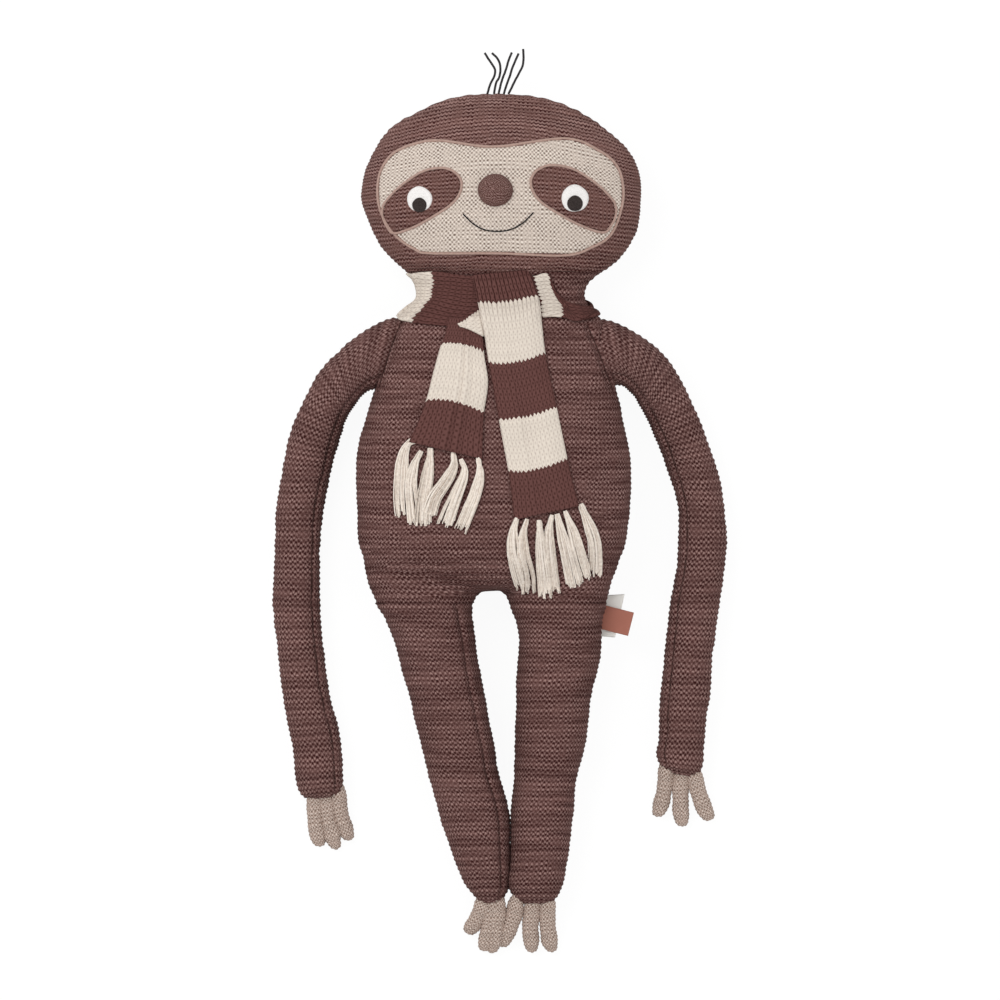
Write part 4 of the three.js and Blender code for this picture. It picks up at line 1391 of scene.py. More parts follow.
@dataclass
class Head:
    """The head, its set-in face with corded rims, felt eyes, padded nose, sewn smile and thread hair."""

    shop: Workshop
    length: float = 125.0
    width: float = 195.3
    depth: float = 84.0
    row: float = 1.55
    blend_to: float = 196.0
    face_size: tuple[float, float] = (171.5, 79.8)
    face_middle: tuple[float, float] = (0.35, 51.8)
    panel_lift: float = 0.7
    patch_lift: float = 1.3
    patch_sink: float = 1.4  # how far the underside of a flat piece lies inside the head
    rim_radius: float = 0.95
    nose_middle: tuple[float, float] = (495.2, 190.2)
    nose_half: tuple[float, float, float] = (12.3, 11.5, 9.0)
    nose_lift: float = 0.8  # the height of its middle above the head's surface
    nose_sides: int = 72
    form: StuffedForm = field(init=False)
    ground: Ground = field(init=False)

    def __post_init__(self) -> None:
        """Works out the head's form."""
        size = (self.length, self.width, self.depth)
        self.form = StuffedForm(sections_along_y(size, NECK_FOLD, 1, HEAD_SHARES), 2.2)

    def arch(self, x: np.ndarray, y: np.ndarray) -> np.ndarray:
        """Gives how far the rows drop towards the sides, as they follow the crown."""
        return (0.0006 + 0.0024 * smoothstep(y, 190, 275)) * x**2

    def along(self, x: np.ndarray, y: np.ndarray) -> np.ndarray:
        """Gives the place along the knitting of a point on the front.

        Args:
            x: Places across.
            y: Places along the head.

        Returns:
            The places along the knitting.
        """
        rings = self.form.cut(low=NECK_FOLD).sections
        front = rings[:, 2] + rings[:, 6]
        way = travelled(np.column_stack([rings[:, 1], front]))
        return np.interp(y, rings[:, 1], way) + self.arch(x, y)

    def follow(self, piece: bpy.types.Object, *nodes: str) -> None:
        """Bakes a piece's place into its mesh, and hides the nodes of the frame that it stands for."""
        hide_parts(*nodes)
        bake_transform(piece)

    def skin(self) -> None:
        """Makes the head's knit cover."""
        piece = KnitSkin(
            "head_skin", self.form.cut(low=NECK_FOLD), self.shop.finish["head"], self.row, 0.8, 420,
            swell=0.28, unevenness=0.6, arch=self.arch, seed=3,
        ).build()
        self.ground = Ground(piece)
        self.follow(piece, "head_front_panel", "head_back_panel", "head_stuffing")

    def patch(
        self, name: str, outline: np.ndarray, lift: float, material: bpy.types.Material, spacing: float = 1.3,
        rim: float = 1.6, foot: float = -0.5,
    ) -> bpy.types.Object:
        """Lays a flat shape over the head's front.

        Args:
            name: The piece's name.
            outline: Its outline, in X and Y.
            lift: How far its face stands above the head's surface.
            material: Its material.
            spacing: The size of its faces.
            rim: How far in its edge is rounded.
            foot: The height of its edge above the head's surface.

        Returns:
            The piece.
        """
        edge = even_outline(outline, spacing)
        low, high = edge.min(axis=0), edge.max(axis=0)
        xs, ys = (np.arange(low[k] + spacing / 2, high[k], spacing) for k in range(2))
        inside = np.stack(np.meshgrid(xs, ys), axis=-1).reshape(-1, 2)
        away = np.array([np.min(np.hypot(*(edge - p).T)) for p in inside])
        inside = inside[away > 0.6 * spacing]
        flat = [Vector(p) for p in np.concatenate([edge, inside])]
        found, _, faces, *_ = delaunay_2d_cdt(flat, [], [list(range(len(edge)))], 1, 1e-5)
        # Filling points beyond the outline belong to no face, so they are left out
        used, numbers = np.unique(np.concatenate(faces), return_inverse=True)
        plan = np.array([tuple(found[k]) for k in used])
        faces = np.split(numbers, np.cumsum([len(face) for face in faces])[:-1])
        faces = [[int(v) for v in face] for face in faces]
        away = np.array([np.min(np.hypot(*(edge - p).T)) for p in plan])
        along = self.along(plan[:, 0], plan[:, 1])
        ground = self.ground.height(plan[:, 0], plan[:, 1])
        crown = np.sqrt(np.clip(1 - (1 - np.clip(away / rim, 0, 1)) ** 2, 0, 1))
        top = ground + foot + (lift - foot) * crown
        uses: dict[tuple[int, int], int] = {}
        for face in faces:
            for a, b in zip(face, [*face[1:], face[0]]):
                uses[(a, b)] = uses.get((a, b), 0) + 1
        border = [(a, b) for a, b in uses if (b, a) not in uses]
        count = len(plan)
        under = ground - self.patch_sink
        points = np.concatenate([np.column_stack([plan, top]), np.column_stack([plan, under])])
        shapes = [list(face) for face in faces]
        shapes += [[v + count for v in reversed(face)] for face in faces]
        shapes += [[b, a, a + count, b + count] for a, b in border]
        rows = np.column_stack([plan[:, 0] * 1.03, along])
        corners = np.array([rows[v % count] for shape in shapes for v in shape])
        return make_piece(name, points, shapes, material, corners)

    def face_outline(self) -> np.ndarray:
        """Gives the outline of the face's panel."""
        return np.array(FACE_SHARES) * self.face_size + [self.face_middle[0], NECK_FOLD + self.face_middle[1]]

    def patch_outline(self, side: Side) -> np.ndarray:
        """Gives the outline of an eye patch."""
        if side is Side.LEFT:
            return np.array(PATCH_SHARES) * (-52.5, 44.1) + [-54.3, NECK_FOLD + 50.0]
        return np.array(PATCH_SHARES) * (56.7, 45.5) + [51.1, NECK_FOLD + 51.2]

    def rim(self, name: str, outline: np.ndarray, reach: float, lift: float) -> None:
        """Lays a smooth bound seam along an outline.

        Args:
            name: The piece's name.
            outline: The outline.
            reach: How far outside it the cord lies.
            lift: Its height above the head's surface.
        """
        path = even_outline(outline, 1.2)
        heading = np.roll(path, -1, axis=0) - np.roll(path, 1, axis=0)
        outward = np.stack([heading[:, 1], -heading[:, 0]], axis=1)
        outward /= np.linalg.norm(outward, axis=1, keepdims=True)
        path = path + reach * outward * np.sign((outward * (path - path.mean(axis=0))).sum())
        height = self.ground.height(path[:, 0], path[:, 1]) + lift
        piece = self.shop.cords.along(
            name, [np.column_stack([path, height])], self.shop.finish["rim"], True,
            radius=self.rim_radius, wobble=0.5,
        )
        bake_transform(piece)

    def face(self) -> None:
        """Makes the face's panel, the eye patches and their rims."""
        outline = self.face_outline()
        panel = self.patch("face_cloth", outline, self.panel_lift, self.shop.finish["beige"])
        self.follow(panel, "face_panel")
        self.rim("face_rim", outline, 0.3, 0.45)
        for side in Side:
            shape = self.patch_outline(side)
            name = f"{side.value}_eye_patch"
            patch = self.patch(
                f"{side.value}_eye_cloth", shape, self.patch_lift, self.shop.finish["patch"],
                foot=self.panel_lift + 0.1,
            )
            self.follow(patch, name)
            self.rim(f"{side.value}_eye_rim", shape, 0.8, 1.0)

    def eyes(self) -> None:
        """Makes the felt rounds of both eyes."""
        for side, (white, width, pupil, pupil_width) in EYES.items():
            parts = (
                ("eye_white", white, width, 2.2, self.shop.finish["white_felt"], "white_felt"),
                ("pupil", pupil, pupil_width, 3.3, self.shop.finish["dark_felt"], "black_felt"),
            )
            for part, middle, across, lift, material, slot in parts:
                turn = np.linspace(0, 2 * math.pi, 24, endpoint=False)
                wobble = 1 + 0.018 * np.sin(3 * turn + lift) + 0.012 * np.sin(5 * turn)
                ring = np.stack([np.cos(turn), np.sin(turn)], axis=1) * (across / 2 * wobble)[:, None]
                name = f"{side.value}_{part}"
                piece = self.patch(
                    f"{name}_felt", ring + place([middle])[0], lift, material, 0.9, rim=0.8, foot=lift - 0.8
                )
                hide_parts(name)
                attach(piece, "head")

    def nose(self) -> None:
        """Makes the padded nose, a ball of knit pressed onto the face."""
        middle = place([self.nose_middle])[0]
        half = np.array(self.nose_half)
        sides = self.nose_sides
        base = float(self.form.front(*middle)) + self.nose_lift
        tilt = np.linspace(0.0, math.radians(118), 40)[1:]
        turn = np.linspace(0, 2 * math.pi, sides, endpoint=False)
        flat = np.sin(tilt)[:, None]
        tall = np.repeat(np.cos(tilt)[:, None], sides, axis=1)
        grid = np.stack([flat * np.cos(turn), flat * np.sin(turn), tall], axis=-1)
        grid *= 1 + 0.02 * lumps(grid * 10, 12, 5)[..., None]
        grid = grid * half + [*middle, base]
        count = len(tilt)
        number = np.arange(count * sides).reshape(count, sides)
        turned = np.concatenate([number, number[:, :1]], axis=1)
        quads = np.stack([turned[:-1, :-1], turned[1:, :-1], turned[1:, 1:], turned[:-1, 1:]], axis=-1)
        faces = quads.reshape(-1, 4).tolist()
        hub = count * sides
        faces += [[hub, turned[0, i], turned[0, i + 1]] for i in range(sides)]
        faces += [[hub + 1, turned[-1, i + 1], turned[-1, i]] for i in range(sides)]
        top = [*middle, base + half[2]]
        points = np.concatenate([grid.reshape(-1, 3), [top, grid[-1].mean(axis=0)]])
        reach = half[0] * tilt[:, None]
        spread = np.stack([reach * np.cos(turn), reach * np.sin(turn)], axis=-1).reshape(-1, 2)
        spread = np.concatenate([spread, [[0, 0], [0, 0]]])
        rows = np.array([spread[v] for shape in faces for v in shape])
        piece = make_piece("nose_pad", points, faces, self.shop.finish["nose"], rows)
        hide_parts("nose")
        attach(piece, "head")

    def smile(self) -> None:
        """Sews the smile in black thread."""
        line = even_path(place(SMILE_PIXELS), 1.0)
        height = self.ground.height(line[:, 0], line[:, 1]) + self.panel_lift + 0.45
        piece = self.shop.stitches.along(
            "smile_thread", [np.column_stack([line, height])], self.shop.finish["black"], pitch=2.9,
            length=3.7, thickness=1.15,
        )
        self.follow(piece, "mouth_stitch")

    def hair(self) -> None:
        """Makes the five threads on the crown."""
        for index, pixels in enumerate(HAIR_PIXELS, start=1):
            flat = even_path(place(pixels), 1.5)
            lift = SEAM_HEIGHT + 1.0 + 0.04 * (flat[:, 1] - flat[0, 1]) * (index - 3)
            piece = self.shop.cords.along(
                f"hair_thread_{index}", [np.column_stack([flat, lift])], self.shop.finish["black"],
                radius=0.8, wobble=0.5,
            )
            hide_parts(f"hair_strand_{index}")
            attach(piece, "head")

    def build(self) -> None:
        """Makes the whole head."""
        self.skin()
        self.face()
        self.eyes()
        self.nose()
        self.smile()
        self.hair()


TORSO_SHARES = [
    (-0.048, 0.02, 0.4, 0.79, 0.04), (0, 0.012, 0.354, 0.75, 0.055),
    (0.018, 0.013, 0.323, 0.735, 0.065), (0.036, 0.012, 0.3, 0.723, 0.075),
    (0.073, 0.009, 0.293, 0.723, 0.087), (0.109, 0.003, 0.321, 0.76, 0.076),
    (0.145, -0.004, 0.375, 0.815, 0.054),
    (0.205, -0.009, 0.399, 0.87, 0.022), (0.284, -0.01, 0.427, 0.918, 0),
    (0.363, -0.018, 0.443, 0.957, -0.005), (0.447, -0.02, 0.466, 0.984, -0.005),
    (0.538, -0.023, 0.492, 1, -0.005), (0.647, -0.025, 0.5, 1, -0.005),
    (0.755, -0.025, 0.491, 0.973, -0.005), (0.846, -0.031, 0.476, 0.913, -0.005),
    (0.906, -0.034, 0.42, 0.83, 0.022), (0.94, -0.036, 0.3, 0.73, 0.09),
    (0.957, -0.036, 0.15, 0.6, 0.22), (0.962, -0.036, 0, 0.413, 0.413),
]
LEG_SHARES = {
    Side.LEFT: [
        (-0.18, -0.83, 0.4, 0.9, 0.2), (-0.155, -0.822, 0.54, 1.06, 0.06),
        (-0.076, -0.812, 0.543, 1.045, 0), (0, -0.771, 0.497, 1, -0.008),
        (0.069, -0.705, 0.441, 0.955, -0.008), (0.188, -0.624, 0.401, 0.894, -0.008),
        (0.32, -0.528, 0.378, 0.848, -0.008), (0.465, -0.431, 0.37, 0.803, -0.008),
        (0.584, -0.355, 0.355, 0.758, -0.008), (0.69, -0.265, 0.359, 0.727, -0.008),
        (0.782, -0.212, 0.32, 0.697, -0.008), (0.861, -0.169, 0.275, 0.652, -0.008),
        (0.934, -0.128, 0.22, 0.576, 0.03), (0.98, -0.104, 0.119, 0.47, 0.121),
        (1, -0.081, 0, 0.288, 0.288),
    ],
    Side.RIGHT: [
        (-0.18, 0.64, 0.4, 0.9, 0.2), (-0.155, 0.649, 0.53, 1.06, 0.06),
        (-0.076, 0.619, 0.528, 1.045, 0), (0, 0.588, 0.5, 1, -0.008),
        (0.069, 0.609, 0.436, 0.955, -0.008), (0.188, 0.593, 0.411, 0.894, -0.008),
        (0.32, 0.541, 0.378, 0.848, -0.008), (0.465, 0.512, 0.36, 0.803, -0.008),
        (0.584, 0.462, 0.32, 0.758, -0.008), (0.69, 0.428, 0.319, 0.727, -0.008),
        (0.782, 0.404, 0.308, 0.697, -0.008), (0.861, 0.384, 0.29, 0.667, -0.008),
        (0.934, 0.353, 0.278, 0.606, 0.03), (0.98, 0.362, 0.196, 0.5, 0.106),
        (1.003, 0.345, 0, 0.303, 0.303),
    ],
}


LEG_SIZE = (212.0, 69.0, 66.0)


def leg_form(side: Side) -> StuffedForm:
    """Works out the form of a leg."""
    return StuffedForm(sections_along_y(LEG_SIZE, HIP_FOLD, -1, LEG_SHARES[side]), 2.2)


@dataclass
class Torso:
    """The body with the neck and the tops of the legs, one smooth stuffed piece."""

    shop: Workshop
    length: float = 231.7
    width: float = 193.2
    depth: float = 92.0
    row: float = 1.75
    voxel: float = 3.6
    swell: float = 0.3
    unevenness: float = 0.8
    lump: float = 38.0
    small_unevenness: float = 0.25
    small_lump: float = 12.0
    crotch: float = -52.0
    overlap: float = 24.0  # how far the legs' tops reach into the body, and where that is smoothed over
    smoothings: int = 10
    least_smoothing: float = 0.12
    legs_from: float = -68.0  # below this height the rows of knitting run round each leg
    gap_middle: float = 5.0
    gusset_from: float = -45.0
    gusset_facing: float = -0.72
    form: StuffedForm = field(init=False)
    piece: bpy.types.Object = field(init=False)

    def __post_init__(self) -> None:
        """Works out the body's form."""
        size = (self.length, self.width, self.depth)
        self.form = StuffedForm(sections_along_y(size, NECK_FOLD, -1, TORSO_SHARES), 2.5)

    def joined(self) -> bpy.types.Mesh:
        """Joins the body and the tops of the legs into one smooth mesh.

        Returns:
            The mesh, before it is knitted.
        """
        parts = [self.form, *[leg_form(side).cut(low=HIP_FOLD - self.overlap) for side in Side]]
        mesh = bpy.data.meshes.new("body_base")
        build = bmesh.new()
        for part in parts:
            piece = KnitSkin(
                "part", part, self.shop.finish["brown"], row=1.0, spacing=5.0, sides=64, swell=0.0,
                unevenness=0.0,
            ).build()
            build.from_mesh(piece.data)
            bpy.data.objects.remove(piece)
        build.to_mesh(mesh)
        build.free()
        mesh = modified("body_base", mesh, "REMESH", mode="VOXEL", voxel_size=self.voxel * MM)
        points = read(mesh.vertices, "co", 3, np.float32).astype(float) / MM
        edges = read(mesh.edges, "vertices", 2)
        least = self.least_smoothing
        amount = least + (1 - least) * np.exp(-(((points[:, 1] - self.crotch) / self.overlap) ** 2))
        for _ in range(self.smoothings):
            total = np.zeros_like(points)
            count = np.zeros(len(points))
            for a, b in ((0, 1), (1, 0)):
                np.add.at(total, edges[:, a], points[edges[:, b]])
                np.add.at(count, edges[:, a], 1)
            points += 0.5 * amount[:, None] * (total / count[:, None] - points)
        mesh.vertices.foreach_set("co", (points * MM).astype(np.float32).ravel())
        return modified("body_smooth", mesh, "SUBSURF", levels=2, render_levels=2)

    def across(self, points: np.ndarray, which: np.ndarray) -> tuple[np.ndarray, np.ndarray]:
        """Measures how far each point is round the body from the middle of its front.

        Args:
            points: Places in millimetres.
            which: 0 for a place on the body, -1 and 1 for one on the left or right leg.

        Returns:
            The distance, and the whole way round there.
        """
        forms = {0: self.form, -1: leg_form(Side.LEFT), 1: leg_form(Side.RIGHT)}
        reach, round_it = np.zeros(len(points)), np.ones(len(points))
        bins = np.round(points[:, 1]).astype(int)
        turn = np.linspace(-math.pi / 2, 1.5 * math.pi, 721)
        for key, form in forms.items():
            unit = np.stack([form.rounded(np.cos(turn)), form.rounded(np.sin(turn))], axis=1)
            for level in np.unique(bins[which == key]):
                here = (which == key) & (bins == level)
                middle, height, half, rise = form.section(max(level, self.crotch) if key == 0 else level)
                oval = unit * [half, rise]
                way = travelled(oval)
                angle = np.unwrap(np.arctan2(oval[:, 1], oval[:, 0]))
                at = np.arctan2(points[here, 2] - height, points[here, 0] - middle)
                at = np.where(at < angle[0], at + 2 * math.pi, at)
                reach[here] = np.interp(at, angle, way) - way[-1] / 2
                round_it[here] = way[-1]
        return reach, round_it

    def build(self) -> bpy.types.Object:
        """Makes the body's knit cover, cut at the neck and the hips.

        Returns:
            The cover.
        """
        mesh = self.joined()
        points = read(mesh.vertices, "co", 3, np.float32).astype(float) / MM
        normals = read(mesh.vertices, "normal", 3, np.float32)
        push = self.swell * ridges(-points[:, 1], self.row)
        push += self.unevenness * lumps(points, self.lump, 11)
        push += self.small_unevenness * lumps(points, self.small_lump, 12) - shoulder_crease(points)
        points += normals * push[:, None]
        points[:, 2] = np.maximum(points[:, 2], FLOOR_GAP)
        mesh.vertices.foreach_set("co", (points * MM).astype(np.float32).ravel())
        layer = mesh.uv_layers.new(name=ROWS)
        corner = read(mesh.loops, "vertex_index")
        starts = read(mesh.polygons, "loop_start")
        totals = np.diff(np.append(starts, len(corner)))
        centre = np.add.reduceat(points[corner], starts) / totals[:, None]
        leg = np.where(centre[:, 0] < self.gap_middle, -1, 1)
        which = np.repeat(np.where(centre[:, 1] > self.legs_from, 0, leg), totals)
        at, round_it = self.across(points[corner], which)
        most = np.repeat(np.maximum.reduceat(at, starts), totals)
        at = np.where(most - at > round_it / 2, at + round_it, at)
        rows = np.column_stack([at, -points[corner, 1]])
        # The gusset between the legs faces the feet, so its rows follow its depth
        facing = read(mesh.polygons, "normal", 3, np.float32)[:, 1]
        gusset = np.repeat((facing < self.gusset_facing) & (centre[:, 1] < self.gusset_from), totals)
        rows[gusset] = points[corner[gusset]][:, [0, 2]]
        layer.data.foreach_set("uv", (rows * MM).astype(np.float32).ravel())
        build = bmesh.new()
        build.from_mesh(mesh)
        for y, sign in ((NECK_FOLD, 1), (HIP_FOLD, -1)):
            cut = bmesh.ops.bisect_plane(
                build, geom=[*build.verts, *build.edges, *build.faces], plane_co=(0, y * MM, 0),
                plane_no=(0, sign, 0), clear_outer=True,
            )
            rim = [edge for edge in cut["geom_cut"] if isinstance(edge, bmesh.types.BMEdge)]
            bmesh.ops.holes_fill(build, edges=rim)
        build.to_mesh(mesh)
        build.free()
        mesh.materials.clear()
        mesh.materials.append(self.shop.finish["brown"])
        mesh.shade_smooth()
        self.piece = piece = link("torso_skin", mesh)
        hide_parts("torso_front_panel", "torso_back_panel", "torso_stuffing")
        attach(piece, "torso")
        return piece


@dataclass
class Claws:
    """Three stuffed knitted claws at the end of a sleeve."""

    shop: Workshop
    name: str
    root: np.ndarray
    tilt: float
    claws: list[tuple[float, float, float]]
    length: float = 32.0
    width: float = 11.1
    tip_height: float = 5.5
    bend: float = 1.2
    shares: tuple = (
        (-0.33, 0), (-0.3, 0.28), (-0.12, 0.52), (0.08, 0.56), (0.35, 0.52), (0.82, 0.465),
        (0.95, 0.32), (1, 0),
    )

    def build(self) -> None:
        """Makes the three claws."""
        tilt = math.radians(self.tilt)
        across = np.array([math.cos(tilt), math.sin(tilt), 0])
        for index, (spot, reach, turn) in enumerate(self.claws, start=1):
            length = reach * self.length
            start = self.root + across * spot * self.length
            angle = math.radians(turn)
            drop = math.asin((start[2] - self.tip_height) / length)
            way = np.array(
                [math.sin(angle) * math.cos(drop), -math.cos(angle) * math.cos(drop), -math.sin(drop)]
            )
            side = np.array([math.cos(angle), math.sin(angle)])
            bend = math.copysign(self.bend, turn if turn else 1)
            sections = []
            for share, radius in self.shares:
                middle = start + way * share * length
                middle[:2] += side * bend * (share * (1 - share) * 4 - 0.4) * -1
                sections.append([*middle, *side, radius * self.width, radius * self.width])
            form = StuffedForm(np.array(sections), 2.0)
            piece = KnitSkin(
                f"{self.name}_claw_{index}_skin", form, self.shop.finish["claw"], 1.6, 0.7, 40, swell=0.22,
                unevenness=0.25, seed=20 + index,
            ).build()
            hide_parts(f"{self.name}_claw_{index}")
            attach(piece, f"{self.name}_claws")


CLAW_SETS = {
    "left_hand": (6, [(-0.17, 1.07, 6), (0.06, 1.16, 12), (0.33, 1.02, 16)]),
    "right_hand": (-6, [(-0.29, 0.99, -13), (0.02, 1.14, 1), (0.30, 1.05, 21)]),
    "left_foot": (0, [(-0.20, 0.79, -31), (0.00, 1.06, -10), (0.14, 1.10, -8)]),
    "right_foot": (0, [(-0.39, 1.01, -21), (-0.05, 1.08, 0), (0.27, 1.08, 7)]),
}


def claws_at(shop: Workshop, name: str, form: StuffedForm) -> Claws:
    """Puts a set of claws at the end of a limb."""
    tilt, claws = CLAW_SETS[name]
    root = form.sections[-1, :3] - [0, 1.0, 0]
    return Claws(shop, name, root, tilt, claws)


@dataclass
class Leg:
    """A leg from the hip fold to its claws."""

    shop: Workshop
    side: Side
    blend_length: float = 50.0

    def follow(self, piece: bpy.types.Object) -> None:
        """Bakes a piece's place into its mesh."""
        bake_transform(piece)

    def build(self) -> None:
        """Makes the leg's cover and its claws."""
        form = leg_form(self.side)
        skin = KnitSkin(
            f"{self.side.value}_leg_skin", form.cut(high=HIP_FOLD), self.shop.finish["brown"],
            row=1.75, spacing=0.85, sides=170, swell=0.33, unevenness=0.6, start=-HIP_FOLD,
            seed=31 if self.side is Side.LEFT else 32,
            seam_turn=48 if self.side is Side.LEFT else None,
        )
        piece = skin.build()
        name = f"{self.side.value}_leg"
        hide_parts(f"{name}_cover", f"{name}_stuffing")
        self.follow(piece)
        if skin.seam is not None:
            self.follow(self.shop.sew(f"{name}_seam_thread", skin.seam))
        claws_at(self.shop, f"{self.side.value}_foot", form).build()


ARM_SHARES = {
    Side.LEFT: [
        (-0.026, 0.008, 73, 1.537, 1.21, 1.27), (0, 0, 73, 1.537, 1.2, 1.27),
        (0.076, 0.04, 96, 1.253, 1.13, 1.21), (0.105, 0.07, 113, 1.107, 1, 1.15),
        (0.131, 0.107, 134, 0.996, 0.85, 1.09), (0.152, 0.155, 154, 0.977, 0.7, 1.06),
        (0.169, 0.207, 169, 0.996, 0.6, 1.03), (0.182, 0.269, 178, 1, 0.52, 1.03),
        (0.196, 0.343, 180, 0.94, 0.485, 1), (0.202, 0.442, 180, 0.918, 0.485, 1),
        (0.2, 0.623, 180, 0.96, 0.485, 1), (0.184, 0.758, 181, 0.94, 0.485, 1),
        (0.156, 0.905, 183, 1, 0.485, 1), (0.152, 0.962, 185, 0.95, 0.485, 0.98),
        (0.148, 0.989, 185, 0.84, 0.475, 0.82), (0.146, 1.001, 185, 0.6, 0.46, 0.5),
        (0.146, 1.003, 185, 0, 0.455, 0),
    ],
    Side.RIGHT: [
        (-0.025, 0.007, 75, 1.396, 1.21, 1.27), (0, 0, 75, 1.396, 1.2, 1.27),
        (0.077, 0.035, 104, 1.157, 1.13, 1.21), (0.106, 0.068, 121, 1.099, 1, 1.15),
        (0.13, 0.108, 137, 1.026, 0.85, 1.09), (0.152, 0.155, 154, 0.977, 0.7, 1.06),
        (0.172, 0.203, 168, 0.961, 0.6, 1.03), (0.192, 0.26, 175, 0.983, 0.52, 1.03),
        (0.211, 0.343, 180, 0.96, 0.485, 1), (0.214, 0.445, 180, 0.98, 0.485, 1),
        (0.199, 0.558, 180, 1.02, 0.485, 1), (0.186, 0.67, 180, 1, 0.485, 1),
        (0.175, 0.783, 180, 1, 0.485, 1), (0.167, 0.878, 180, 0.939, 0.485, 1),
        (0.164, 0.912, 184, 0.95, 0.485, 0.98), (0.165, 0.938, 189, 0.84, 0.475, 0.82),
        (0.165, 0.95, 192, 0.6, 0.46, 0.5), (0.165, 0.953, 192, 0, 0.455, 0),
    ],
}
# The shoulder seams: the places of their ends along the torso and out from its middle line
SHOULDER_SHARES = {
    Side.LEFT: ((0.139, -0.370), (0.3565, -0.449)),
    Side.RIGHT: ((0.145, 0.355), (0.3444, 0.420)),
}


@dataclass
class Arm:
    """An arm from its shoulder seam to its claws."""

    shop: Workshop
    side: Side
    torso: Torso
    length: float = 310.0
    width: float = 34.3
    depth: float = 33.0

    def form(self) -> StuffedForm:
        """Works out the arm's form.

        Returns:
            The form, from the shoulder to the wrist.
        """
        ends = np.array(SHOULDER_SHARES[self.side])
        seam = [ends[:, 1].mean() * self.torso.width, NECK_FOLD - ends[:, 0].mean() * self.torso.length]
        outward = self.side.outward
        sections = []
        for out, down, turn, width, height, depth in ARM_SHARES[self.side]:
            angle = math.radians(turn)
            sections.append(
                [
                    seam[0] + outward * out * self.length,
                    seam[1] - down * self.length,
                    height * self.depth,
                    outward * math.cos(angle),
                    -math.sin(angle),
                    width * self.width / 2,
                    depth * self.depth / 2,
                ]
            )
        return StuffedForm(np.array(sections), 2.1)

    def build(self) -> None:
        """Makes the arm's cover and its claws."""
        form = self.form()
        name = f"{self.side.value}_arm"
        skin = KnitSkin(
            f"{name}_skin", form, self.shop.finish["limb"], row=1.9, spacing=0.85, sides=120, swell=0.4,
            unevenness=0.5, seam_turn=46, seam_ends=(75, 32), crease=shoulder_crease,
            seed=41 if self.side is Side.LEFT else 42,
        )
        piece = skin.build()
        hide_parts(f"{name}_cover", f"{name}_stuffing")
        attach(piece, name)
        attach(self.shop.sew(f"{name}_seam_thread", skin.seam), name)
        # The shoulder seam's dark thread is partly painted shade of the crease between the arm and the body
        line = even_path(place(SHOULDER_LINES[self.side]), 2.0)
        height = Ground(self.torso.piece, piece).height(line[:, 0], line[:, 1])
        shoulder = np.column_stack([line[:, :2], height + 0.3])
        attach(self.shop.sew(f"{self.side.value}_shoulder_thread", shoulder), "torso")
        claws_at(self.shop, f"{self.side.value}_hand", form).build()


